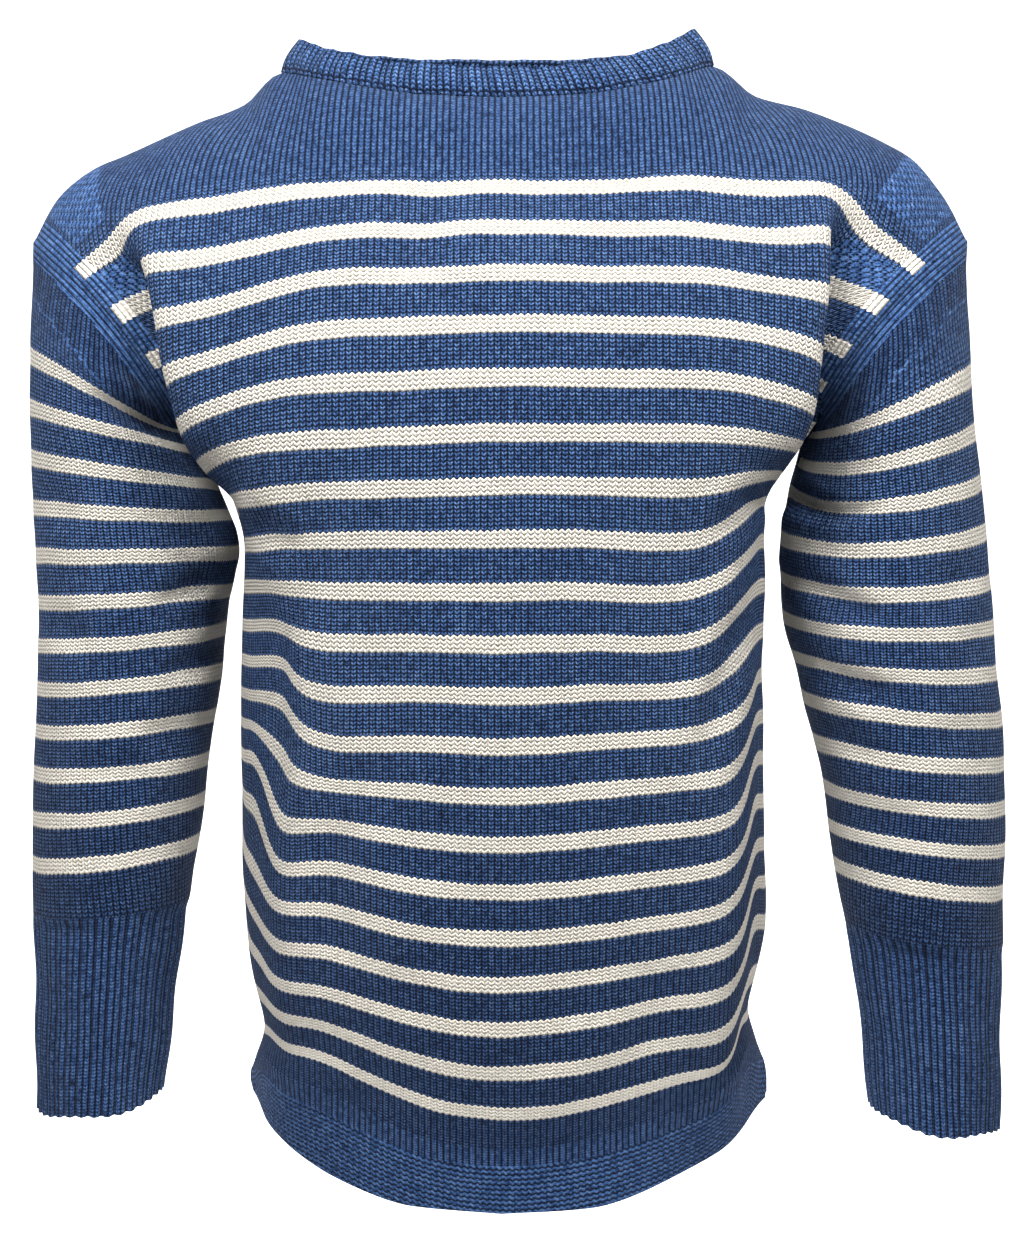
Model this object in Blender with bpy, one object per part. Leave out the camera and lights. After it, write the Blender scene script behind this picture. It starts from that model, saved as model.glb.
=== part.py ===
"""Guernsey fisherman's sweater, worn form with no wearer: a hollow knitted shell.

Metres, +Z up. The front of the garment faces -Y and +X is the wearer's left. The
origin is the centre of the neck opening at the level where the shoulders carry it.

Every piece is a wall of knitted cloth grown both ways from one mid surface. The mid
surface is worked out row by row: a row is one course of knitting, counted in stripes
from the neck down (row 1 is the middle of the top stripe, row 20 the lowest), and a
station counts round the body from the centre (0) past the brow (1), the turn of the
chest (2), the chest fold (3), the tuck behind it (4) and the flap over the upper arm
(5) to the armhole or side seam (6).
"""

import bmesh
import bpy
import numpy as np

# ---------------------------------------------------------------- driving sizes
WALL = 0.0030  # five-ply knit
BAND_WALL = 0.0042  # neckband, knitted double
WELT_WALL = 0.0034  # garter stitch
SEAM = 0.0003  # gap between pieces at a seam

ROW_TOP = -1.2  # shoulder join and neckline
ROW_GUSSET = 4.5  # front and back corners of the underarm gusset
ROW_TIP = 6.8  # lower tip of the underarm gusset, top of the side seam
ROW_HEM = 21.1  # pick-up line of the welts
ARM_TURN = 180.0 / 6.9  # degrees round the armhole for each row
ARM_BOW_FRONT, ARM_BOW_BACK = 0.016, 0.008  # armhole curves in toward the chest
SLEEVE_TOP, SLEEVE_TIP, SLEEVE_END = -1.2, 2.4, 13.15  # sleeve rows
GUSSET_RISE = 0.016  # how far the underarm gusset arches above its edges
POINT_SHORT = 0.3  # share of the first cell by which a gusset's points stop short
NECK_CORNER = 1.12  # station of the neck corner on the shoulder
NECK_GUSSET_END = 1.5  # station where the neck gusset runs out on the shoulder join

# centre line of the front and of the back: row, height, depth
FRONT = (
    ("row", "z", "y"),
    (1, -0.0654, -0.090),
    (2, -0.0886, -0.104),
    (3, -0.1137, -0.115),
    (4, -0.1408, -0.122),
    (5, -0.1697, -0.127),
    (6, -0.1990, -0.129),
    (8, -0.2554, -0.128),
    (10, -0.3124, -0.126),
    (14, -0.4219, -0.120),
    (18, -0.5254, -0.112),
    (20, -0.5745, -0.105),
    (21.1, -0.5967, -0.101),
)
BACK = (
    ("row", "z", "y"),
    (1, -0.0480, 0.094),
    (3, -0.1030, 0.109),
    (5, -0.1600, 0.111),
    (8, -0.2420, 0.103),
    (12, -0.3520, 0.095),
    (16, -0.4600, 0.093),
    (21.1, -0.5850, 0.090),
)
# the wearer's right (-X) and left (+X) side of the front, a section for each row
SIDE_COLUMNS = (
    "row", "brow_x", "brow_z", "turn_x", "turn_y", "turn_z", "fold_x", "fold_y", "fold_z", "tuck",
)
RIGHT_SIDE = (
    SIDE_COLUMNS,
    (1, 0.110, -0.0673, 0.1656, -0.083, -0.0743, 0.2038, -0.072, -0.0817, 0.002),
    (2, 0.108, -0.0941, 0.1636, -0.099, -0.1042, 0.1950, -0.087, -0.1084, 0.012),
    (3, 0.108, -0.1185, 0.1599, -0.108, -0.1324, 0.1880, -0.095, -0.1379, 0.020),
    (4, 0.108, -0.1462, 0.1542, -0.112, -0.1584, 0.1818, -0.098, -0.1690, 0.026),
    (5, 0.108, -0.1740, 0.1450, -0.114, -0.1820, 0.1756, -0.094, -0.1961, 0.026),
    (6, 0.107, -0.2030, 0.1395, -0.112, -0.2067, 0.1663, -0.080, -0.2168, 0.016),
    (7, 0.106, -0.2304, 0.1371, -0.102, -0.2338, 0.1500, -0.064, -0.2359, 0.004),
    (8, 0.105, -0.2569, 0.1308, -0.092, -0.2592, 0.1430, -0.058, -0.2608, 0.000),
    (10, 0.103, -0.3111, 0.1240, -0.086, -0.3055, 0.1395, -0.055, -0.3071, -0.003),
    (12, 0.103, -0.3651, 0.1221, -0.086, -0.3501, 0.1388, -0.055, -0.3471, -0.003),
    (14, 0.103, -0.4145, 0.1232, -0.085, -0.4137, 0.1388, -0.055, -0.3856, -0.003),
    (15, 0.103, -0.4385, 0.1237, -0.0845, -0.4390, 0.1390, -0.055, -0.4130, -0.003),
    (16, 0.103, -0.4618, 0.1242, -0.084, -0.4620, 0.1393, -0.055, -0.4495, -0.003),
    (18, 0.102, -0.5085, 0.1239, -0.080, -0.5080, 0.1377, -0.052, -0.5009, -0.003),
    (20, 0.100, -0.5475, 0.1203, -0.074, -0.5460, 0.1333, -0.048, -0.5440, -0.002),
    (21.1, 0.099, -0.5680, 0.1228, -0.072, -0.5630, 0.1371, -0.046, -0.5590, -0.002),
)
LEFT_SIDE = (
    SIDE_COLUMNS,
    (1, 0.108, -0.0630, 0.1532, -0.083, -0.0650, 0.1831, -0.074, -0.0655, 0.002),
    (2, 0.107, -0.0904, 0.1514, -0.099, -0.0923, 0.1789, -0.089, -0.0918, 0.014),
    (3, 0.107, -0.1153, 0.1506, -0.108, -0.1200, 0.1777, -0.096, -0.1244, 0.022),
    (4, 0.107, -0.1430, 0.1475, -0.113, -0.1477, 0.1743, -0.099, -0.1577, 0.027),
    (5, 0.107, -0.1708, 0.1448, -0.115, -0.1762, 0.1702, -0.095, -0.1858, 0.027),
    (6, 0.107, -0.1992, 0.1409, -0.113, -0.2019, 0.1644, -0.082, -0.2063, 0.018),
    (7, 0.106, -0.2277, 0.1355, -0.104, -0.2224, 0.1554, -0.066, -0.2213, 0.006),
    (8, 0.105, -0.2563, 0.1311, -0.096, -0.2459, 0.1474, -0.058, -0.2359, 0.000),
    (10, 0.103, -0.3111, 0.1290, -0.090, -0.2969, 0.1436, -0.055, -0.2860, -0.003),
    (12, 0.103, -0.3635, 0.1285, -0.090, -0.3564, 0.1428, -0.055, -0.3385, -0.003),
    (14, 0.103, -0.4155, 0.1290, -0.090, -0.4096, 0.1432, -0.055, -0.3856, -0.003),
    (16, 0.103, -0.4658, 0.1300, -0.088, -0.4578, 0.1443, -0.053, -0.4356, -0.003),
    (18, 0.102, -0.5135, 0.1290, -0.082, -0.5079, 0.1444, -0.050, -0.4809, -0.003),
    (20, 0.101, -0.5590, 0.1251, -0.076, -0.5548, 0.1372, -0.046, -0.5405, -0.002),
    (21.1, 0.101, -0.5775, 0.1301, -0.072, -0.5657, 0.1415, -0.044, -0.5528, -0.002),
)
# how far a row has dropped half way from the centre to the brow
HALF = (
    ("row", "drop"),
    (1, 0.10),
    (3, 0.26),
    (7, 0.50),
    (12, 0.50),
    (15, 0.44),
    (18, 0.36),
    (21.1, 0.30),
)
# gusset edge and side seam, which lie on the sides at depth 0 below the gusset's tip
SEAM_COLUMNS = ("row", "x", "z")
RIGHT_SEAM = (
    SEAM_COLUMNS,
    (5.6, 0.1710, -0.2100),
    (6.8, 0.1576, -0.2366),
    (8, 0.1513, -0.2650),
    (10, 0.1525, -0.3096),
    (12, 0.1540, -0.3484),
    (14, 0.1535, -0.3820),
    (16, 0.1539, -0.4290),
    (18, 0.1519, -0.4883),
    (20, 0.1410, -0.5500),
    (21.1, 0.1472, -0.5736),
)
LEFT_SEAM = (
    SEAM_COLUMNS,
    (5.6, 0.1704, -0.2071),
    (6.8, 0.1610, -0.2236),
    (8, 0.1541, -0.2413),
    (10, 0.1532, -0.2840),
    (12, 0.1512, -0.3347),
    (14, 0.1528, -0.3856),
    (16, 0.1544, -0.4368),
    (18, 0.1565, -0.4852),
    (20, 0.1455, -0.5369),
    (21.1, 0.1523, -0.5644),
)
# neckline and shoulder join, from the centre out to the point of the shoulder
TOP_COLUMNS = ("station", "x", "front_y", "back_y", "front_z", "back_z")
RIGHT_TOP = (
    TOP_COLUMNS,
    (0, 0.0000, -0.050, 0.053, -0.0107, 0.0100),
    (0.4, 0.0460, -0.049, 0.052, -0.0088, 0.0105),
    (0.7, 0.0800, -0.045, 0.048, -0.0035, 0.0115),
    (0.9, 0.1050, -0.035, 0.038, 0.0025, 0.0110),
    (1.12, 0.1265, -0.011, 0.011, 0.0095, 0.0095),
    (1.5, 0.1500, 0.0, 0.0, -0.0070, -0.0070),
    (2, 0.1770, 0.0, 0.0, -0.0182, -0.0182),
    (3, 0.2210, 0.0, 0.0, -0.0372, -0.0372),
    (4, 0.2350, 0.0, 0.0, -0.0430, -0.0430),
    (5, 0.2560, 0.0, 0.0, -0.0590, -0.0590),
    (6, 0.2727, 0.0, 0.0, -0.0863, -0.0863),
)
LEFT_TOP = (
    TOP_COLUMNS,
    (0, 0.0000, -0.050, 0.053, -0.0107, 0.0100),
    (0.4, 0.0450, -0.049, 0.052, -0.0088, 0.0105),
    (0.7, 0.0780, -0.045, 0.048, -0.0030, 0.0118),
    (0.9, 0.1020, -0.035, 0.038, 0.0042, 0.0130),
    (1.12, 0.1215, -0.011, 0.011, 0.0133, 0.0133),
    (1.5, 0.1480, 0.0, 0.0, -0.0022, -0.0022),
    (2, 0.1780, 0.0, 0.0, -0.0105, -0.0105),
    (3, 0.2220, 0.0, 0.0, -0.0290, -0.0290),
    (4, 0.2370, 0.0, 0.0, -0.0380, -0.0380),
    (5, 0.2565, 0.0, 0.0, -0.0592, -0.0592),
    (6, 0.2710, 0.0, 0.0, -0.0857, -0.0857),
)
# sleeve rings: outermost and innermost point at depth 0, and half depth
RING_COLUMNS = ("row", "out_x", "out_z", "in_x", "in_z", "depth", "sag")
RIGHT_SLEEVE = (
    RING_COLUMNS,
    (-1.2, 0.2727, -0.0863, 0.1862, -0.1976, 0.065, 0),
    (0, 0.2740, -0.1185, 0.1851, -0.1984, 0.066, 0),
    (1, 0.2742, -0.1508, 0.1828, -0.1996, 0.067, 0),
    (2, 0.2758, -0.1810, 0.1781, -0.2080, 0.066, 0),
    (3, 0.2745, -0.2107, 0.1705, -0.2280, 0.065, 0),
    (4, 0.2745, -0.2400, 0.1636, -0.2460, 0.064, 0),
    (5, 0.2738, -0.2680, 0.1596, -0.2665, 0.063, 0),
    (6, 0.2726, -0.2953, 0.1628, -0.2880, 0.061, 0.001),
    (8, 0.2738, -0.3466, 0.1686, -0.3371, 0.057, 0),
    (10, 0.2768, -0.3964, 0.1768, -0.3892, 0.053, 0),
    (12, 0.2787, -0.4507, 0.1832, -0.4386, 0.049, 0),
    (13.15, 0.2788, -0.4810, 0.1890, -0.4737, 0.046, 0),
)
LEFT_SLEEVE = (
    RING_COLUMNS,
    (-1.2, 0.2710, -0.0857, 0.1832, -0.1894, 0.065, 0),
    (0, 0.2710, -0.1190, 0.1827, -0.1925, 0.066, 0.002),
    (1, 0.2744, -0.1612, 0.1809, -0.1972, 0.067, 0.005),
    (2, 0.2760, -0.1935, 0.1769, -0.2130, 0.066, 0.009),
    (3, 0.2808, -0.2230, 0.1723, -0.2305, 0.065, 0.011),
    (4, 0.2842, -0.2526, 0.1685, -0.2570, 0.064, 0.008),
    (5, 0.2868, -0.2822, 0.1670, -0.2800, 0.063, 0.008),
    (6, 0.2892, -0.3090, 0.1690, -0.3045, 0.061, 0.005),
    (8, 0.2952, -0.3640, 0.1805, -0.3520, 0.057, 0.002),
    (10, 0.2984, -0.4169, 0.1936, -0.4061, 0.053, 0.001),
    (12, 0.2976, -0.4676, 0.2006, -0.4531, 0.049, 0),
    (13.15, 0.2983, -0.4992, 0.2076, -0.4883, 0.046, 0),
)
# cuffs: row 0 joins the sleeve, row 1 is its open end
RIGHT_CUFF = (
    RING_COLUMNS,
    (0, 0.2788, -0.4810, 0.1890, -0.4737, 0.0460, 0),
    (0.12, 0.2789, -0.4927, 0.1912, -0.4860, 0.0425, 0),
    (0.5, 0.2792, -0.5385, 0.1973, -0.5310, 0.0390, 0.001),
    (1, 0.2795, -0.5990, 0.2046, -0.5905, 0.0370, 0.003),
)
LEFT_CUFF = (
    RING_COLUMNS,
    (0, 0.2983, -0.4992, 0.2076, -0.4883, 0.0460, 0),
    (0.12, 0.2978, -0.5103, 0.2105, -0.4998, 0.0425, 0),
    (0.5, 0.2985, -0.5560, 0.2165, -0.5455, 0.0390, 0.002),
    (1, 0.2993, -0.6110, 0.2219, -0.5985, 0.0370, 0.004),
)
# upper edge of the neckband and lower edge of the welts, by station
BAND_COLUMNS = ("station", "x", "front_y", "back_y", "front_z", "back_z")
RIGHT_BAND = (
    BAND_COLUMNS,
    (0, 0.0000, -0.0450, 0.0480, 0.0065, 0.0285),
    (0.4, 0.0440, -0.0440, 0.0470, 0.0084, 0.0290),
    (0.7, 0.0760, -0.0400, 0.0430, 0.0140, 0.0300),
    (0.9, 0.0985, -0.0290, 0.0310, 0.0200, 0.0290),
    (1.12, 0.1155, -0.0100, 0.0100, 0.0285, 0.0295),
)
LEFT_BAND = (
    BAND_COLUMNS,
    (0, 0.0000, -0.0450, 0.0480, 0.0065, 0.0285),
    (0.4, 0.0430, -0.0440, 0.0470, 0.0084, 0.0290),
    (0.7, 0.0740, -0.0400, 0.0430, 0.0152, 0.0305),
    (0.9, 0.0950, -0.0290, 0.0310, 0.0245, 0.0335),
    (1.12, 0.1095, -0.0100, 0.0100, 0.0345, 0.0355),
)
WELT_COLUMNS = ("station", "x", "front_y", "back_y", "front_z", "back_z")
RIGHT_WELT = (
    WELT_COLUMNS,
    (0, 0.0000, -0.100, 0.090, -0.6334, -0.6230),
    (0.5, 0.0500, -0.097, 0.088, -0.6305, -0.6210),
    (1, 0.1000, -0.078, 0.072, -0.6165, -0.6130),
    (2, 0.1265, -0.054, 0.052, -0.6030, -0.6030),
    (3, 0.1365, -0.032, 0.032, -0.5980, -0.5985),
    (6, 0.1440, -0.004, 0.004, -0.5900, -0.5900),
)
LEFT_WELT = (
    WELT_COLUMNS,
    (0, 0.0000, -0.100, 0.090, -0.6334, -0.6230),
    (0.5, 0.0500, -0.097, 0.088, -0.6305, -0.6210),
    (1, 0.1020, -0.078, 0.072, -0.6165, -0.6130),
    (2, 0.1315, -0.054, 0.052, -0.6080, -0.6060),
    (3, 0.1440, -0.032, 0.032, -0.6020, -0.6020),
    (6, 0.1545, -0.004, 0.004, -0.5950, -0.5950),
)

BODY_ROWS = (-1.2, -0.5, 0.2, 1, 2, 3, 3.8, 4.5, 5.2, 6.0, 6.8, 8, 10, 12, 14, 16, 18, 19.5, 21.1)
KEY_STATIONS = (0, 0.5, 1, 2, 3, 4, 5, 6)  # where a row's key points lie
STATIONS = (0, 0.4, 0.8, 1.12, 1.5, 1.8, 2.1, 2.5, 2.8, 3.1, 3.5, 4, 4.5, 5, 5.5, 6)
SLEEVE_ROWS = (0, 0.1, 0.22, 0.34, 0.46, 0.58, 0.7, 0.8, 0.9, 1)

BLUE = (0.055, 0.125, 0.285)


# ---------------------------------------------------------------- curve helpers
def column(table, name):
    return np.array([line[table[0].index(name)] for line in table[1:]], float)


def smooth(xs, ys, x):
    """A smooth curve through (xs, ys) that does not overshoot, read at x."""
    xs, ys, x = np.asarray(xs, float), np.asarray(ys, float), np.asarray(x, float)
    step = np.diff(xs)
    rate = np.diff(ys) / step
    slope = np.zeros_like(ys)
    slope[0], slope[-1] = rate[0], rate[-1]
    same = rate[:-1] * rate[1:] > 0
    w1, w2 = 2 * step[1:] + step[:-1], step[1:] + 2 * step[:-1]
    safe = np.where(same, rate[:-1], 1.0), np.where(same, rate[1:], 1.0)
    slope[1:-1] = np.where(same, (w1 + w2) / (w1 / safe[0] + w2 / safe[1]), 0.0)
    i = np.clip(np.searchsorted(xs, x, side="right") - 1, 0, len(step) - 1)
    t = np.clip((x - xs[i]) / step[i], 0.0, 1.0)
    h = step[i]
    return (
        ys[i] * (1 + 2 * t) * (1 - t) ** 2
        + ys[i + 1] * t * t * (3 - 2 * t)
        + slope[i] * h * t * (1 - t) ** 2
        - slope[i + 1] * h * t * t * (1 - t)
    )


def read(table, name, at):
    return smooth(column(table, table[0][0]), column(table, name), at)


def spline(points, stations, at):
    """A natural cubic spline through points, spaced by chord, read at stations."""
    chord = np.sqrt(np.linalg.norm(np.diff(points, axis=0), axis=1) + 1e-9)
    knots = np.concatenate([[0], np.cumsum(chord)])
    n, h = len(points), np.diff(knots)
    system = np.eye(n)
    right = np.zeros((n, 3))
    for i in range(1, n - 1):
        system[i, i - 1 : i + 2] = h[i - 1], 2 * (h[i - 1] + h[i]), h[i]
        right[i] = 6 * (
            (points[i + 1] - points[i]) / h[i] - (points[i] - points[i - 1]) / h[i - 1]
        )
    bend = np.linalg.solve(system, right)
    k = np.interp(at, stations, knots)
    i = np.clip(np.searchsorted(knots, k, side="right") - 1, 0, n - 2)
    a, b = ((knots[i + 1] - k) / h[i])[:, None], ((k - knots[i]) / h[i])[:, None]
    hh = (h[i] ** 2)[:, None]
    return (
        a * points[i]
        + b * points[i + 1]
        + ((a**3 - a) * bend[i] + (b**3 - b) * bend[i + 1]) * hh / 6
    )


# ---------------------------------------------------------------- the garment's form
SIDES = {-1: (RIGHT_SIDE, RIGHT_SEAM, RIGHT_TOP, RIGHT_SLEEVE, RIGHT_CUFF, RIGHT_BAND, RIGHT_WELT),
         1: (LEFT_SIDE, LEFT_SEAM, LEFT_TOP, LEFT_SLEEVE, LEFT_CUFF, LEFT_BAND, LEFT_WELT)}


def ring(table, side, row, degrees):
    """A point of a sleeve or cuff: 0 degrees is outermost, 90 front, 180 innermost."""
    turn = np.radians(degrees)
    out = np.stack([side * read(table, "out_x", row), 0 * row, read(table, "out_z", row)], -1)
    inn = np.stack([side * read(table, "in_x", row), 0 * row, read(table, "in_z", row)], -1)
    around = (out + inn) / 2 + (out - inn) / 2 * np.cos(turn)[..., None]
    around[..., 1] -= read(table, "depth", row) * np.sin(turn)
    front = np.clip(np.sin(turn), 0, 1)  # the front of the ring sags, most toward the underarm
    around[..., 2] -= read(table, "sag", row) * front * (1 - 0.35 * np.cos(turn))
    if table[1][0] == SLEEVE_TOP:
        bow = np.where(np.sin(turn) > 0, ARM_BOW_FRONT, ARM_BOW_BACK)
        fade = np.clip(1 - (row - SLEEVE_TOP) / 3.4, 0, 1) ** 2
        around[..., 0] -= side * bow * np.sin(turn) ** 2 * fade
    return around


def edge(side, face, row):
    """The panel's outer edge: armhole, then gusset, then side seam."""
    sleeve, seam = SIDES[side][3], SIDES[side][1]
    if row <= ROW_GUSSET:
        degrees = (row - ROW_TOP) * ARM_TURN
        return ring(sleeve, side, np.array(SLEEVE_TOP), np.array(degrees * -face))
    if row >= ROW_TIP:
        return np.array([side * read(seam, "x", row), 0.0, read(seam, "z", row)])
    corner = edge(side, face, ROW_GUSSET)
    rows = np.concatenate([[ROW_GUSSET], column(seam, "row")[:2]])
    x = smooth(rows, np.concatenate([[abs(corner[0])], column(seam, "x")[:2]]), row)
    z = smooth(rows, np.concatenate([[corner[2]], column(seam, "z")[:2]]), row)
    share = (ROW_TIP - row) / (ROW_TIP - ROW_GUSSET)
    return np.array([side * x, corner[1] * share, z])


def half_row(side, face, row):
    """Key points of one row from the centre (station 0) to its outer edge (6)."""
    table = SIDES[side][0]
    get = lambda name: float(read(table, name, row))
    z0, y0 = float(read(FRONT, "z", row)), float(read(FRONT, "y", row))
    brow = np.array([get("brow_x"), y0 + (get("turn_y") - y0) * (get("brow_x") / get("turn_x")) ** 3, get("brow_z")])
    turn = np.array([get("turn_x"), get("turn_y"), get("turn_z")])
    fold = np.array([get("fold_x"), get("fold_y"), get("fold_z")])
    centre = np.array([0.0, y0, z0])
    tuck = get("tuck")
    last = edge(side, face, row) * (side, 1, 1)
    if face > 0:
        y1, z1 = float(read(BACK, "y", row)), float(read(BACK, "z", row))
        ease = y1 / -y0
        level = lambda p: z1 + (last[2] - z1) * (p[0] / max(last[0], fold[0])) ** 2.5
        centre = np.array([0.0, y1, z1])
        brow, turn, fold = (np.array([p[0] - 0.003 * (i == 2), -p[1] * ease, level(p)]) for i, p in enumerate((brow, turn, fold)))
        tuck *= 0.7
    gap = last - fold
    deep = np.clip(tuck / 0.020, 0, 1)
    shallow = fold + 0.40 * gap + np.array([-min(tuck, 0), 0, 0])
    pocket = np.array([fold[0] - tuck, 0.55 * last[1] + face * 0.015, fold[2] + 0.40 * gap[2]])
    inner = shallow + (pocket - shallow) * deep
    shallow = fold + 0.80 * gap + np.array([-0.6 * min(tuck, 0), 0, 0])
    facing = last + np.array([-0.010, face * 0.003, 0.006])
    flap = shallow + (facing - shallow) * deep
    half = centre + (brow - centre) * (0.5, 0.125, read(HALF, "drop", row))
    keys = np.array([centre, half, brow, turn, fold, inner, flap, last])
    return keys * (side, 1, 1)


def body_row(face, row, stations):
    """One row of a panel: its points at signed stations, wearer's right to left."""
    left, right = half_row(1, face, row), half_row(-1, face, row)
    keys = np.concatenate([right[:0:-1], left])
    at = np.array(KEY_STATIONS, float)
    return spline(keys, np.concatenate([-at[:0:-1], at]), stations)


def top_row(face, stations):
    """The neckline and shoulder join."""
    out = np.empty((len(stations), 3))
    name = "front" if face < 0 else "back"
    for i, s in enumerate(stations):
        side = 1 if s > 0 else -1
        table = SIDES[side][2]
        out[i] = (
            side * read(table, "x", abs(s)),
            read(table, name + "_y", abs(s)),
            read(table, name + "_z", abs(s)),
        )
    return out


def body_panel(face, rows, stations):
    """The mid surface of the front (face -1) or back (face 1), rows down, stations across."""
    stations = np.asarray(stations, float)
    first = body_row(face, 1.0, stations)
    slope = (body_row(face, 1.25, stations) - first) / 0.25
    top = top_row(face, stations)
    rise = np.stack(
        [
            0 * stations,
            np.full(len(stations), face * -1.0),
            np.interp(np.abs(stations), (0.7, 1.9), (0.55, 0.05)),
        ],
        -1,
    )
    span = 1.0 - ROW_TOP
    reach = np.linalg.norm(first - top, axis=1, keepdims=True)
    arrive = rise / np.linalg.norm(rise, axis=1, keepdims=True) * reach
    grid = []
    for row in rows:
        if row >= 1:
            line = body_row(face, row, stations)
        else:
            t = (1.0 - row) / span
            line = (
                first * (1 + 2 * t) * (1 - t) ** 2
                + top * t * t * (3 - 2 * t)
                - slope * span * t * (1 - t) ** 2
                - arrive * t * t * (1 - t)
            )
            for end, side in ((0, -1), (-1, 1)):
                if abs(stations[end]) == 6:
                    line[end] = edge(side, face, row)
        grid.append(line)
    return np.array(grid)


# ---------------------------------------------------------------- pieces
def mirrored(stations, limit=6):
    inside = [s for s in stations if s <= limit]
    return np.array([-s for s in inside[:0:-1]] + inside, float)


def sleeve_top_row(degrees):
    """Row where the sleeve's cloth starts: the armhole, dipping round the gusset."""
    corner = (ROW_GUSSET - ROW_TOP) * ARM_TURN
    dip = np.clip((np.abs(degrees) - corner) / (180 - corner), 0, 1)
    return SLEEVE_TOP + (SLEEVE_TIP - SLEEVE_TOP) * dip


def sleeve_angles():
    corner = (ROW_GUSSET - ROW_TOP) * ARM_TURN
    front = [(r - ROW_TOP) * ARM_TURN for r in BODY_ROWS if r <= ROW_GUSSET]
    dip = [corner + (180 - corner) * (r - ROW_GUSSET) / (ROW_TIP - ROW_GUSSET) for r in BODY_ROWS if ROW_GUSSET < r <= ROW_TIP]
    half = front + dip
    return np.array(half + [360 - a for a in half[-2:0:-1]])


def signed(degrees):
    return np.where(degrees > 180, degrees - 360, degrees)


def sleeve_grid(side, shares):
    angles = sleeve_angles()
    start = sleeve_top_row(signed(angles))
    rows = start + np.asarray(shares)[:, None] * (SLEEVE_END - start)
    return ring(SIDES[side][3], side, rows, np.broadcast_to(angles, rows.shape))


def cuff_grid(side, rows):
    angles = sleeve_angles()
    rows = np.broadcast_to(np.asarray(rows)[:, None], (len(rows), len(angles)))
    return ring(SIDES[side][4], side, rows, np.broadcast_to(angles, rows.shape))


def band_grid(rows):
    """The neckband: base on the neckline and the neck gussets, rows upward."""
    stations = mirrored(STATIONS, NECK_CORNER)
    base = np.concatenate([top_row(-1, stations), top_row(1, stations)[::-1]])
    upper = []
    for face, line in ((-1, stations), (1, stations[::-1])):
        name = "front" if face < 0 else "back"
        for s in line:
            side = 1 if s > 0 else -1
            table = SIDES[side][5]
            upper.append((side * read(table, "x", abs(s)), read(table, name + "_y", abs(s)), read(table, name + "_z", abs(s))))
    upper = np.array(upper)
    out = []
    for t in rows:
        line = base + (upper - base) * t
        centre = line * (1, 1, 0)
        bulge = 0.0016 * np.sin(np.pi * t)
        out.append(line + bulge * centre / np.linalg.norm(centre, axis=1, keepdims=True))
    return np.array(out)


def welt_grid(face, rows):
    stations = mirrored(STATIONS)
    above = body_row(face, ROW_HEM, stations)
    name = "front" if face < 0 else "back"
    below = []
    for s in stations:
        side = 1 if s > 0 else -1
        table = SIDES[side][6]
        below.append((side * read(table, "x", abs(s)), read(table, name + "_y", abs(s)), read(table, name + "_z", abs(s))))
    below = np.array(below)
    # the garter stitch is wider than the rib above it, so the corners flare
    flare = np.clip((np.abs(stations) - 3) / 3, 0, 1) ** 2 * 0.006 * np.sign(stations)
    out = []
    for t in rows:
        line = above + (below - above) * t
        line[:, 0] += flare * np.sin(np.pi * min(1, t * 1.3) / 2) * (1 - 0.5 * t)
        out.append(line)
    return np.array(out)


def gusset_grid(side):
    """The folded underarm diamond: a patch between front, back and sleeve edges."""
    rows = [r for r in BODY_ROWS if ROW_GUSSET <= r <= ROW_TIP]
    steps = (np.array(rows) - ROW_GUSSET) / (ROW_TIP - ROW_GUSSET)
    corner = (ROW_GUSSET - ROW_TOP) * ARM_TURN

    def body_edge(face, t):
        return edge(side, face, ROW_GUSSET + (ROW_TIP - ROW_GUSSET) * t)

    def sleeve_edge(face, t):
        degrees = -face * (corner + (180 - corner) * t)
        row = sleeve_top_row(np.array(degrees))
        return ring(SIDES[side][3], side, row, np.array(degrees))

    # a runs front corner -> body tip, b runs front corner -> sleeve tip
    front_body = np.array([body_edge(-1, t) for t in steps])
    front_sleeve = np.array([sleeve_edge(-1, t) for t in steps])
    back_body = np.array([body_edge(1, t) for t in steps])[::-1]
    back_sleeve = np.array([sleeve_edge(1, t) for t in steps])[::-1]
    grid = np.empty((len(steps), len(steps), 3))
    c00, c10, c01, c11 = front_body[0], front_body[-1], front_sleeve[-1], back_body[-1]
    for i, a in enumerate(steps):
        for j, b in enumerate(steps):
            ruled = (1 - b) * front_body[i] + b * back_sleeve[i]
            other = (1 - a) * front_sleeve[j] + a * back_body[j]
            flat = (1 - a) * (1 - b) * c00 + a * (1 - b) * c10 + (1 - a) * b * c01 + a * b * c11
            grid[i, j] = ruled + other - flat
            grid[i, j, 2] += GUSSET_RISE * (16 * a * b * (1 - a) * (1 - b)) ** 0.75
    return grid



# ---------------------------------------------------------------- walls
def normals_of(grid, closed):
    """Unit normals of a grid of points; closed grids join their last column to the first."""
    if closed:
        across = np.roll(grid, -1, 1) - np.roll(grid, 1, 1)
    else:
        across = np.gradient(grid, axis=1)
    down = np.gradient(grid, axis=0)
    out = np.cross(across, down)
    size = np.linalg.norm(out, axis=2, keepdims=True)
    out = np.where(size > 1e-12, out, out[:, :1])  # a triangle's point takes its base's
    return out / np.linalg.norm(out, axis=2, keepdims=True)


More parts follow.
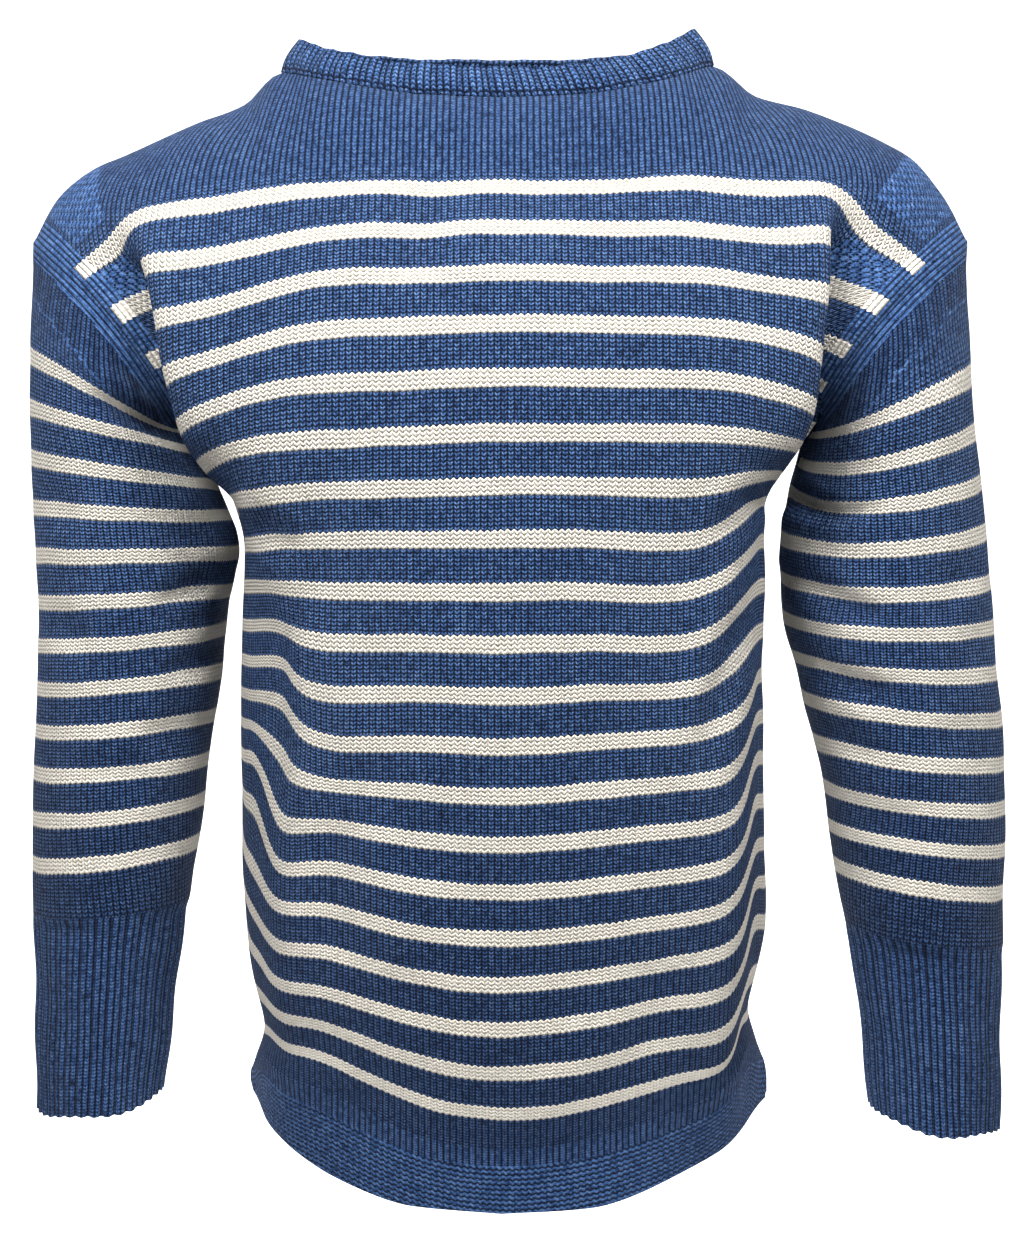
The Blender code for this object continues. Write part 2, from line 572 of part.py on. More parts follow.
class Piece:
    """A wall round a grid of points. Its outer face looks along out, or off a tube's axis."""

    def __init__(self, name, grid, wall, closed=False, out=None, gap=SEAM * 0.55, colour=BLUE):
        self.name, self.grid, self.wall, self.closed = name, grid, wall, closed
        self.gap = gap
        normal = normals_of(grid, closed)
        off = grid - grid.mean(1, keepdims=True) if out is None else np.array(out, float)
        self.flip = bool((normal * off).sum() < 0)
        self.normal = -normal if self.flip else normal
        self.colour = colour
        rows, cols = grid.shape[:2]
        rim = np.zeros((rows, cols), bool)
        rim[0] = rim[-1] = True
        if not closed:
            rim[:, 0] = rim[:, -1] = True
        self.rim = rim
        self.seam = np.zeros((rows, cols), bool)
        self.scale = np.ones((rows, cols))


def share_seams(pieces):
    """Where edges of pieces meet, both take one normal, so that their rims lie flat together."""
    groups, centres = [], np.empty((0, 3))
    for piece in pieces:
        for i, j in np.argwhere(piece.rim):
            point = piece.grid[i, j]
            away = np.abs(centres - point).max(1) if len(centres) else np.array([1.0])
            if away.min() < 1e-4:
                groups[int(away.argmin())].append((piece, i, j))
            else:
                groups.append([(piece, i, j)])
                centres = np.vstack([centres, point])
    for group in groups:
        if len({id(entry[0]) for entry in group}) < 2:
            continue
        total = sum(piece.normal[i, j] for piece, i, j in group)
        size = np.linalg.norm(total)
        for piece, i, j in group:
            shared = total / size if size > 0.25 * len(group) else piece.normal[i, j]
            lean = max(float(shared @ piece.normal[i, j]), 0.7)
            piece.seam[i, j] = True
            piece.scale[i, j] = 1 / lean
            piece.meet = getattr(piece, "meet", {})
            piece.meet[(i, j)] = shared
    for piece in pieces:
        for (i, j), shared in getattr(piece, "meet", {}).items():
            piece.normal[i, j] = shared


def draw_back(piece):
    """Seam edges step back by half the seam gap, along the cloth."""
    grid, rows, cols = piece.grid, *piece.grid.shape[:2]
    moved = grid.copy()
    for i, j in np.argwhere(piece.seam):
        step = np.zeros(3)
        if i in (0, rows - 1):
            step += direction(grid, i, j, (1 if i == 0 else -1), 0, piece)
        if not piece.closed and j in (0, cols - 1):
            step += direction(grid, i, j, 0, (1 if j == 0 else -1), piece)
        moved[i, j] = grid[i, j] + step * piece.gap
    if np.allclose(grid[0, -1], grid[-1, -1]):  # a triangle's last column is one point
        moved[:, -1] = grid[0, -1] + (grid[:, 0].mean(0) - grid[0, -1]) * 0.06
        piece.normal[:, -1] = piece.normal[0, -1]
    if piece.gap > SEAM * 4:  # a gusset's sharp points stop short of the corner stitch
        for i, k in ((0, 1), (-1, -2)):
            moved[i, i] = moved[i, i] + (moved[k, k] - moved[i, i]) * POINT_SHORT
    piece.grid = moved


def direction(grid, i, j, di, dj, piece):
    """Unit vector from an edge point into the cloth, square to the edge and the rim."""
    rows, cols = grid.shape[:2]
    inward = grid[i + di, (j + dj) % cols] - grid[i, j]
    if di:
        before, after = (j - 1) % cols if piece.closed else max(j - 1, 0), (j + 1) % cols if piece.closed else min(j + 1, cols - 1)
        along = grid[i, after] - grid[i, before]
    else:
        along = grid[min(i + 1, rows - 1), j] - grid[max(i - 1, 0), j]
    square = np.cross(piece.normal[i, j], along)
    square /= np.linalg.norm(square)
    return square if square @ inward > 0 else -square


def build(piece, collection):
    """The closed wall: outer and inner skins of the grid, joined round the rims."""
    grid, normal = piece.grid, piece.normal
    rows, cols = grid.shape[:2]
    half = (piece.wall / 2 * piece.scale)[..., None]
    outer, inner = grid + normal * half, grid - normal * half
    points = np.concatenate([outer.reshape(-1, 3), inner.reshape(-1, 3)])
    n = rows * cols
    faces = []
    last = cols if piece.closed else cols - 1
    for i in range(rows - 1):
        for j in range(last):
            k = (j + 1) % cols
            a, b, c, d = i * cols + j, i * cols + k, (i + 1) * cols + k, (i + 1) * cols + j
            faces.append((a, b, c, d))
            faces.append((n + d, n + c, n + b, n + a))
    for j in range(last):
        k = (j + 1) % cols
        faces.append((j, n + j, n + k, k))
        a, b = (rows - 1) * cols + j, (rows - 1) * cols + k
        faces.append((b, n + b, n + a, a))
    if not piece.closed:
        for i in range(rows - 1):
            a, d = i * cols, (i + 1) * cols
            faces.append((a, d, n + d, n + a))
            b, c = a + cols - 1, d + cols - 1
            faces.append((c, b, n + b, n + c))
    if piece.flip:
        faces = [face[::-1] for face in faces]
    mesh = bpy.data.meshes.new(piece.name)
    mesh.from_pydata([tuple(p) for p in points], [], faces)
    cage = bmesh.new()
    cage.from_mesh(mesh)
    bmesh.ops.remove_doubles(cage, verts=cage.verts, dist=1e-6)
    cage.to_mesh(mesh)
    cage.free()
    mesh.update()
    mesh.shade_smooth()
    mesh.set_sharp_from_angle(angle=np.radians(50))
    obj = bpy.data.objects.new(piece.name, mesh)
    material = bpy.data.materials.new(piece.name + "_knit")
    material.use_nodes = True
    shader = material.node_tree.nodes["Principled BSDF"]
    shader.inputs["Base Color"].default_value = (*piece.colour, 1)
    shader.inputs["Roughness"].default_value = 0.92
    shader.inputs["Metallic"].default_value = 0.0
    mesh.materials.append(material)
    collection.objects.link(obj)
    return obj


def neck_gusset_grid(side):
    """The small triangle at the neck end of a shoulder join; its last column is one point."""
    stations = [s * side for s in STATIONS if NECK_CORNER <= s <= NECK_GUSSET_END]
    front, back = top_row(-1, stations), top_row(1, stations)
    return np.array([front, back])


def main():
    for obj in list(bpy.data.objects):
        bpy.data.objects.remove(obj)
    collection = bpy.data.collections.new("guernsey_sweater")
    bpy.context.scene.collection.children.link(collection)

    across = mirrored(STATIONS)
    pieces = [
        Piece("body_front", body_panel(-1, BODY_ROWS, across), WALL, out=(0, -1, 0)),
        Piece("body_back", body_panel(1, BODY_ROWS, across), WALL, out=(0, 1, 0)),
        Piece("neckband", band_grid((0, 0.5, 1)), BAND_WALL, closed=True, gap=SEAM * 2.2),
        Piece("welt_front", welt_grid(-1, (0, 0.5, 1)), WELT_WALL, out=(0, -1, 0)),
        Piece("welt_back", welt_grid(1, (0, 0.5, 1)), WELT_WALL, out=(0, 1, 0)),
    ]
    for side, word in ((-1, "right"), (1, "left")):
        pieces += [
            Piece("sleeve_" + word, sleeve_grid(side, SLEEVE_ROWS), WALL, closed=True),
            Piece("cuff_" + word, cuff_grid(side, (0, 0.12, 0.5, 1)), WALL, closed=True),
            Piece("neck_gusset_" + word, neck_gusset_grid(side), WALL, out=(0, 0, 1), gap=SEAM * 1.6),
            Piece("underarm_gusset_" + word, gusset_grid(side), WALL, out=(0, 0, -1), gap=SEAM * 4.5),
        ]
    share_seams(pieces)
    for piece in pieces:
        draw_back(piece)
        build(piece, collection)


main()
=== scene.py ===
"""Looks of the guernsey sweater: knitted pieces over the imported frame.

The tables and curve functions are the same sizes as the CAD's; the pieces are sampled
finely here, creased, given ribs and ridges, and charted with their stitches.
"""

import bmesh
import bpy
import numpy as np
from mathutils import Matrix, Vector

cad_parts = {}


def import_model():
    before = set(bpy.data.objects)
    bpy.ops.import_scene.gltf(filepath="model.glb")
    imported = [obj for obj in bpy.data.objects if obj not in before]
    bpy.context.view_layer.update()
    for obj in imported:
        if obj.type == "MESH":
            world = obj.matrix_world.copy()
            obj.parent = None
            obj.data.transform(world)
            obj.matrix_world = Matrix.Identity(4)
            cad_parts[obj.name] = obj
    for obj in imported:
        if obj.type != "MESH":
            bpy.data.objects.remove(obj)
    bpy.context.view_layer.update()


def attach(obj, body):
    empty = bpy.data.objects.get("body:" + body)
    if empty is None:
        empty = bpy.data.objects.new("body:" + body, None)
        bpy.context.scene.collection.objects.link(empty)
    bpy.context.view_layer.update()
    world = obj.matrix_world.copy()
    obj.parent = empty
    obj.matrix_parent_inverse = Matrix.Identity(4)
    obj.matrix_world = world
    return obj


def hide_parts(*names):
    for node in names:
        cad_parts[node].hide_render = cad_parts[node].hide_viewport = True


# ---------------------------------------------------------------- driving sizes
WALL = 0.0030  # five-ply knit
BAND_WALL = 0.0042  # neckband, knitted double
WELT_WALL = 0.0034  # garter stitch
SEAM = 0.0003  # gap between pieces at a seam

ROW_TOP = -1.2  # shoulder join and neckline
ROW_GUSSET = 4.5  # front and back corners of the underarm gusset
ROW_TIP = 6.8  # lower tip of the underarm gusset, top of the side seam
ROW_HEM = 21.1  # pick-up line of the welts
ARM_TURN = 180.0 / 6.9  # degrees round the armhole for each row
ARM_BOW_FRONT, ARM_BOW_BACK = 0.016, 0.008  # armhole curves in toward the chest
SLEEVE_TOP, SLEEVE_TIP, SLEEVE_END = -1.2, 2.4, 13.15  # sleeve rows
GUSSET_RISE = 0.016  # how far the underarm gusset arches above its edges
POINT_SHORT = 0.3  # share of the first cell by which a gusset's points stop short
NECK_CORNER = 1.12  # station of the neck corner on the shoulder
NECK_GUSSET_END = 1.5  # station where the neck gusset runs out on the shoulder join

# centre line of the front and of the back: row, height, depth
FRONT = (
    ("row", "z", "y"),
    (1, -0.0654, -0.090),
    (2, -0.0886, -0.104),
    (3, -0.1137, -0.115),
    (4, -0.1408, -0.122),
    (5, -0.1697, -0.127),
    (6, -0.1990, -0.129),
    (8, -0.2554, -0.128),
    (10, -0.3124, -0.126),
    (14, -0.4219, -0.120),
    (18, -0.5254, -0.112),
    (20, -0.5745, -0.105),
    (21.1, -0.5967, -0.101),
)
BACK = (
    ("row", "z", "y"),
    (1, -0.0480, 0.094),
    (3, -0.1030, 0.109),
    (5, -0.1600, 0.111),
    (8, -0.2420, 0.103),
    (12, -0.3520, 0.095),
    (16, -0.4600, 0.093),
    (21.1, -0.5850, 0.090),
)
# the wearer's right (-X) and left (+X) side of the front, a section for each row
SIDE_COLUMNS = (
    "row", "brow_x", "brow_z", "turn_x", "turn_y", "turn_z", "fold_x", "fold_y", "fold_z", "tuck",
)
RIGHT_SIDE = (
    SIDE_COLUMNS,
    (1, 0.110, -0.0673, 0.1656, -0.083, -0.0743, 0.2038, -0.072, -0.0817, 0.002),
    (2, 0.108, -0.0941, 0.1636, -0.099, -0.1042, 0.1950, -0.087, -0.1084, 0.012),
    (3, 0.108, -0.1185, 0.1599, -0.108, -0.1324, 0.1880, -0.095, -0.1379, 0.020),
    (4, 0.108, -0.1462, 0.1542, -0.112, -0.1584, 0.1818, -0.098, -0.1690, 0.026),
    (5, 0.108, -0.1740, 0.1450, -0.114, -0.1820, 0.1756, -0.094, -0.1961, 0.026),
    (6, 0.107, -0.2030, 0.1395, -0.112, -0.2067, 0.1663, -0.080, -0.2168, 0.016),
    (7, 0.106, -0.2304, 0.1371, -0.102, -0.2338, 0.1500, -0.064, -0.2359, 0.004),
    (8, 0.105, -0.2569, 0.1308, -0.092, -0.2592, 0.1430, -0.058, -0.2608, 0.000),
    (10, 0.103, -0.3111, 0.1240, -0.086, -0.3055, 0.1395, -0.055, -0.3071, -0.003),
    (12, 0.103, -0.3651, 0.1221, -0.086, -0.3501, 0.1388, -0.055, -0.3471, -0.003),
    (14, 0.103, -0.4145, 0.1232, -0.085, -0.4137, 0.1388, -0.055, -0.3856, -0.003),
    (15, 0.103, -0.4385, 0.1237, -0.0845, -0.4390, 0.1390, -0.055, -0.4130, -0.003),
    (16, 0.103, -0.4618, 0.1242, -0.084, -0.4620, 0.1393, -0.055, -0.4495, -0.003),
    (18, 0.102, -0.5085, 0.1239, -0.080, -0.5080, 0.1377, -0.052, -0.5009, -0.003),
    (20, 0.100, -0.5475, 0.1203, -0.074, -0.5460, 0.1333, -0.048, -0.5440, -0.002),
    (21.1, 0.099, -0.5680, 0.1228, -0.072, -0.5630, 0.1371, -0.046, -0.5590, -0.002),
)
LEFT_SIDE = (
    SIDE_COLUMNS,
    (1, 0.108, -0.0630, 0.1532, -0.083, -0.0650, 0.1831, -0.074, -0.0655, 0.002),
    (2, 0.107, -0.0904, 0.1514, -0.099, -0.0923, 0.1789, -0.089, -0.0918, 0.014),
    (3, 0.107, -0.1153, 0.1506, -0.108, -0.1200, 0.1777, -0.096, -0.1244, 0.022),
    (4, 0.107, -0.1430, 0.1475, -0.113, -0.1477, 0.1743, -0.099, -0.1577, 0.027),
    (5, 0.107, -0.1708, 0.1448, -0.115, -0.1762, 0.1702, -0.095, -0.1858, 0.027),
    (6, 0.107, -0.1992, 0.1409, -0.113, -0.2019, 0.1644, -0.082, -0.2063, 0.018),
    (7, 0.106, -0.2277, 0.1355, -0.104, -0.2224, 0.1554, -0.066, -0.2213, 0.006),
    (8, 0.105, -0.2563, 0.1311, -0.096, -0.2459, 0.1474, -0.058, -0.2359, 0.000),
    (10, 0.103, -0.3111, 0.1290, -0.090, -0.2969, 0.1436, -0.055, -0.2860, -0.003),
    (12, 0.103, -0.3635, 0.1285, -0.090, -0.3564, 0.1428, -0.055, -0.3385, -0.003),
    (14, 0.103, -0.4155, 0.1290, -0.090, -0.4096, 0.1432, -0.055, -0.3856, -0.003),
    (16, 0.103, -0.4658, 0.1300, -0.088, -0.4578, 0.1443, -0.053, -0.4356, -0.003),
    (18, 0.102, -0.5135, 0.1290, -0.082, -0.5079, 0.1444, -0.050, -0.4809, -0.003),
    (20, 0.101, -0.5590, 0.1251, -0.076, -0.5548, 0.1372, -0.046, -0.5405, -0.002),
    (21.1, 0.101, -0.5775, 0.1301, -0.072, -0.5657, 0.1415, -0.044, -0.5528, -0.002),
)
# how far a row has dropped half way from the centre to the brow
HALF = (
    ("row", "drop"),
    (1, 0.10),
    (3, 0.26),
    (7, 0.50),
    (12, 0.50),
    (15, 0.44),
    (18, 0.36),
    (21.1, 0.30),
)
# gusset edge and side seam, which lie on the sides at depth 0 below the gusset's tip
SEAM_COLUMNS = ("row", "x", "z")
RIGHT_SEAM = (
    SEAM_COLUMNS,
    (5.6, 0.1710, -0.2100),
    (6.8, 0.1576, -0.2366),
    (8, 0.1513, -0.2650),
    (10, 0.1525, -0.3096),
    (12, 0.1540, -0.3484),
    (14, 0.1535, -0.3820),
    (16, 0.1539, -0.4290),
    (18, 0.1519, -0.4883),
    (20, 0.1410, -0.5500),
    (21.1, 0.1472, -0.5736),
)
LEFT_SEAM = (
    SEAM_COLUMNS,
    (5.6, 0.1704, -0.2071),
    (6.8, 0.1610, -0.2236),
    (8, 0.1541, -0.2413),
    (10, 0.1532, -0.2840),
    (12, 0.1512, -0.3347),
    (14, 0.1528, -0.3856),
    (16, 0.1544, -0.4368),
    (18, 0.1565, -0.4852),
    (20, 0.1455, -0.5369),
    (21.1, 0.1523, -0.5644),
)
# neckline and shoulder join, from the centre out to the point of the shoulder
TOP_COLUMNS = ("station", "x", "front_y", "back_y", "front_z", "back_z")
RIGHT_TOP = (
    TOP_COLUMNS,
    (0, 0.0000, -0.050, 0.053, -0.0107, 0.0100),
    (0.4, 0.0460, -0.049, 0.052, -0.0088, 0.0105),
    (0.7, 0.0800, -0.045, 0.048, -0.0035, 0.0115),
    (0.9, 0.1050, -0.035, 0.038, 0.0025, 0.0110),
    (1.12, 0.1265, -0.011, 0.011, 0.0095, 0.0095),
    (1.5, 0.1500, 0.0, 0.0, -0.0070, -0.0070),
    (2, 0.1770, 0.0, 0.0, -0.0182, -0.0182),
    (3, 0.2210, 0.0, 0.0, -0.0372, -0.0372),
    (4, 0.2350, 0.0, 0.0, -0.0430, -0.0430),
    (5, 0.2560, 0.0, 0.0, -0.0590, -0.0590),
    (6, 0.2727, 0.0, 0.0, -0.0863, -0.0863),
)
LEFT_TOP = (
    TOP_COLUMNS,
    (0, 0.0000, -0.050, 0.053, -0.0107, 0.0100),
    (0.4, 0.0450, -0.049, 0.052, -0.0088, 0.0105),
    (0.7, 0.0780, -0.045, 0.048, -0.0030, 0.0118),
    (0.9, 0.1020, -0.035, 0.038, 0.0042, 0.0130),
    (1.12, 0.1215, -0.011, 0.011, 0.0133, 0.0133),
    (1.5, 0.1480, 0.0, 0.0, -0.0022, -0.0022),
    (2, 0.1780, 0.0, 0.0, -0.0105, -0.0105),
    (3, 0.2220, 0.0, 0.0, -0.0290, -0.0290),
    (4, 0.2370, 0.0, 0.0, -0.0380, -0.0380),
    (5, 0.2565, 0.0, 0.0, -0.0592, -0.0592),
    (6, 0.2710, 0.0, 0.0, -0.0857, -0.0857),
)
# sleeve rings: outermost and innermost point at depth 0, and half depth
RING_COLUMNS = ("row", "out_x", "out_z", "in_x", "in_z", "depth", "sag")
RIGHT_SLEEVE = (
    RING_COLUMNS,
    (-1.2, 0.2727, -0.0863, 0.1862, -0.1976, 0.065, 0),
    (0, 0.2740, -0.1185, 0.1851, -0.1984, 0.066, 0),
    (1, 0.2742, -0.1508, 0.1828, -0.1996, 0.067, 0),
    (2, 0.2758, -0.1810, 0.1781, -0.2080, 0.066, 0),
    (3, 0.2745, -0.2107, 0.1705, -0.2280, 0.065, 0),
    (4, 0.2745, -0.2400, 0.1636, -0.2460, 0.064, 0),
    (5, 0.2738, -0.2680, 0.1596, -0.2665, 0.063, 0),
    (6, 0.2726, -0.2953, 0.1628, -0.2880, 0.061, 0.001),
    (8, 0.2738, -0.3466, 0.1686, -0.3371, 0.057, 0),
    (10, 0.2768, -0.3964, 0.1768, -0.3892, 0.053, 0),
    (12, 0.2787, -0.4507, 0.1832, -0.4386, 0.049, 0),
    (13.15, 0.2788, -0.4810, 0.1890, -0.4737, 0.046, 0),
)
LEFT_SLEEVE = (
    RING_COLUMNS,
    (-1.2, 0.2710, -0.0857, 0.1832, -0.1894, 0.065, 0),
    (0, 0.2710, -0.1190, 0.1827, -0.1925, 0.066, 0.002),
    (1, 0.2744, -0.1612, 0.1809, -0.1972, 0.067, 0.005),
    (2, 0.2760, -0.1935, 0.1769, -0.2130, 0.066, 0.009),
    (3, 0.2808, -0.2230, 0.1723, -0.2305, 0.065, 0.011),
    (4, 0.2842, -0.2526, 0.1685, -0.2570, 0.064, 0.008),
    (5, 0.2868, -0.2822, 0.1670, -0.2800, 0.063, 0.008),
    (6, 0.2892, -0.3090, 0.1690, -0.3045, 0.061, 0.005),
    (8, 0.2952, -0.3640, 0.1805, -0.3520, 0.057, 0.002),
    (10, 0.2984, -0.4169, 0.1936, -0.4061, 0.053, 0.001),
    (12, 0.2976, -0.4676, 0.2006, -0.4531, 0.049, 0),
    (13.15, 0.2983, -0.4992, 0.2076, -0.4883, 0.046, 0),
)
# cuffs: row 0 joins the sleeve, row 1 is its open end
RIGHT_CUFF = (
    RING_COLUMNS,
    (0, 0.2788, -0.4810, 0.1890, -0.4737, 0.0460, 0),
    (0.12, 0.2789, -0.4927, 0.1912, -0.4860, 0.0425, 0),
    (0.5, 0.2792, -0.5385, 0.1973, -0.5310, 0.0390, 0.001),
    (1, 0.2795, -0.5990, 0.2046, -0.5905, 0.0370, 0.003),
)
LEFT_CUFF = (
    RING_COLUMNS,
    (0, 0.2983, -0.4992, 0.2076, -0.4883, 0.0460, 0),
    (0.12, 0.2978, -0.5103, 0.2105, -0.4998, 0.0425, 0),
    (0.5, 0.2985, -0.5560, 0.2165, -0.5455, 0.0390, 0.002),
    (1, 0.2993, -0.6110, 0.2219, -0.5985, 0.0370, 0.004),
)
# upper edge of the neckband and lower edge of the welts, by station
BAND_COLUMNS = ("station", "x", "front_y", "back_y", "front_z", "back_z")
RIGHT_BAND = (
    BAND_COLUMNS,
    (0, 0.0000, -0.0450, 0.0480, 0.0065, 0.0285),
    (0.4, 0.0440, -0.0440, 0.0470, 0.0084, 0.0290),
    (0.7, 0.0760, -0.0400, 0.0430, 0.0140, 0.0300),
    (0.9, 0.0985, -0.0290, 0.0310, 0.0200, 0.0290),
    (1.12, 0.1155, -0.0100, 0.0100, 0.0285, 0.0295),
)
LEFT_BAND = (
    BAND_COLUMNS,
    (0, 0.0000, -0.0450, 0.0480, 0.0065, 0.0285),
    (0.4, 0.0430, -0.0440, 0.0470, 0.0084, 0.0290),
    (0.7, 0.0740, -0.0400, 0.0430, 0.0152, 0.0305),
    (0.9, 0.0950, -0.0290, 0.0310, 0.0245, 0.0335),
    (1.12, 0.1095, -0.0100, 0.0100, 0.0345, 0.0355),
)
WELT_COLUMNS = ("station", "x", "front_y", "back_y", "front_z", "back_z")
RIGHT_WELT = (
    WELT_COLUMNS,
    (0, 0.0000, -0.100, 0.090, -0.6334, -0.6230),
    (0.5, 0.0500, -0.097, 0.088, -0.6305, -0.6210),
    (1, 0.1000, -0.078, 0.072, -0.6165, -0.6130),
    (2, 0.1265, -0.054, 0.052, -0.6030, -0.6030),
    (3, 0.1365, -0.032, 0.032, -0.5980, -0.5985),
    (6, 0.1440, -0.004, 0.004, -0.5900, -0.5900),
)
LEFT_WELT = (
    WELT_COLUMNS,
    (0, 0.0000, -0.100, 0.090, -0.6334, -0.6230),
    (0.5, 0.0500, -0.097, 0.088, -0.6305, -0.6210),
    (1, 0.1020, -0.078, 0.072, -0.6165, -0.6130),
    (2, 0.1315, -0.054, 0.052, -0.6080, -0.6060),
    (3, 0.1440, -0.032, 0.032, -0.6020, -0.6020),
    (6, 0.1545, -0.004, 0.004, -0.5950, -0.5950),
)

BODY_ROWS = (-1.2, -0.5, 0.2, 1, 2, 3, 3.8, 4.5, 5.2, 6.0, 6.8, 8, 10, 12, 14, 16, 18, 19.5, 21.1)
KEY_STATIONS = (0, 0.5, 1, 2, 3, 4, 5, 6)  # where a row's key points lie
STATIONS = (0, 0.4, 0.8, 1.12, 1.5, 1.8, 2.1, 2.5, 2.8, 3.1, 3.5, 4, 4.5, 5, 5.5, 6)
SLEEVE_ROWS = (0, 0.1, 0.22, 0.34, 0.46, 0.58, 0.7, 0.8, 0.9, 1)

BLUE = (0.055, 0.125, 0.285)


# ---------------------------------------------------------------- curve helpers
def column(table, name):
    return np.array([line[table[0].index(name)] for line in table[1:]], float)


def smooth(xs, ys, x):
    """A smooth curve through (xs, ys) that does not overshoot, read at x."""
    xs, ys, x = np.asarray(xs, float), np.asarray(ys, float), np.asarray(x, float)
    step = np.diff(xs)
    rate = np.diff(ys) / step
    slope = np.zeros_like(ys)
    slope[0], slope[-1] = rate[0], rate[-1]
    same = rate[:-1] * rate[1:] > 0
    w1, w2 = 2 * step[1:] + step[:-1], step[1:] + 2 * step[:-1]
    safe = np.where(same, rate[:-1], 1.0), np.where(same, rate[1:], 1.0)
    slope[1:-1] = np.where(same, (w1 + w2) / (w1 / safe[0] + w2 / safe[1]), 0.0)
    i = np.clip(np.searchsorted(xs, x, side="right") - 1, 0, len(step) - 1)
    t = np.clip((x - xs[i]) / step[i], 0.0, 1.0)
    h = step[i]
    return (
        ys[i] * (1 + 2 * t) * (1 - t) ** 2
        + ys[i + 1] * t * t * (3 - 2 * t)
        + slope[i] * h * t * (1 - t) ** 2
        - slope[i + 1] * h * t * t * (1 - t)
    )


def read(table, name, at):
    return smooth(column(table, table[0][0]), column(table, name), at)


def spline(points, stations, at):
    """A natural cubic spline through points, spaced by chord, read at stations."""
    chord = np.sqrt(np.linalg.norm(np.diff(points, axis=0), axis=1) + 1e-9)
    knots = np.concatenate([[0], np.cumsum(chord)])
    n, h = len(points), np.diff(knots)
    system = np.eye(n)
    right = np.zeros((n, 3))
    for i in range(1, n - 1):
        system[i, i - 1 : i + 2] = h[i - 1], 2 * (h[i - 1] + h[i]), h[i]
        right[i] = 6 * (
            (points[i + 1] - points[i]) / h[i] - (points[i] - points[i - 1]) / h[i - 1]
        )
    bend = np.linalg.solve(system, right)
    k = np.interp(at, stations, knots)
    i = np.clip(np.searchsorted(knots, k, side="right") - 1, 0, n - 2)
    a, b = ((knots[i + 1] - k) / h[i])[:, None], ((k - knots[i]) / h[i])[:, None]
    hh = (h[i] ** 2)[:, None]
    return (
        a * points[i]
        + b * points[i + 1]
        + ((a**3 - a) * bend[i] + (b**3 - b) * bend[i + 1]) * hh / 6
    )


# ---------------------------------------------------------------- the garment's form
SIDES = {-1: (RIGHT_SIDE, RIGHT_SEAM, RIGHT_TOP, RIGHT_SLEEVE, RIGHT_CUFF, RIGHT_BAND, RIGHT_WELT),
         1: (LEFT_SIDE, LEFT_SEAM, LEFT_TOP, LEFT_SLEEVE, LEFT_CUFF, LEFT_BAND, LEFT_WELT)}


def ring(table, side, row, degrees):
    """A point of a sleeve or cuff: 0 degrees is outermost, 90 front, 180 innermost."""
    turn = np.radians(degrees)
    out = np.stack([side * read(table, "out_x", row), 0 * row, read(table, "out_z", row)], -1)
    inn = np.stack([side * read(table, "in_x", row), 0 * row, read(table, "in_z", row)], -1)
    around = (out + inn) / 2 + (out - inn) / 2 * np.cos(turn)[..., None]
    around[..., 1] -= read(table, "depth", row) * np.sin(turn)
    front = np.clip(np.sin(turn), 0, 1)  # the front of the ring sags, most toward the underarm
    around[..., 2] -= read(table, "sag", row) * front * (1 - 0.35 * np.cos(turn))
    if table[1][0] == SLEEVE_TOP:
        bow = np.where(np.sin(turn) > 0, ARM_BOW_FRONT, ARM_BOW_BACK)
        fade = np.clip(1 - (row - SLEEVE_TOP) / 3.4, 0, 1) ** 2
        around[..., 0] -= side * bow * np.sin(turn) ** 2 * fade
    return around


def edge(side, face, row):
    """The panel's outer edge: armhole, then gusset, then side seam."""
    sleeve, seam = SIDES[side][3], SIDES[side][1]
    if row <= ROW_GUSSET:
        degrees = (row - ROW_TOP) * ARM_TURN
        return ring(sleeve, side, np.array(SLEEVE_TOP), np.array(degrees * -face))
    if row >= ROW_TIP:
        return np.array([side * read(seam, "x", row), 0.0, read(seam, "z", row)])
    corner = edge(side, face, ROW_GUSSET)
    rows = np.concatenate([[ROW_GUSSET], column(seam, "row")[:2]])
    x = smooth(rows, np.concatenate([[abs(corner[0])], column(seam, "x")[:2]]), row)
    z = smooth(rows, np.concatenate([[corner[2]], column(seam, "z")[:2]]), row)
    share = (ROW_TIP - row) / (ROW_TIP - ROW_GUSSET)
    return np.array([side * x, corner[1] * share, z])


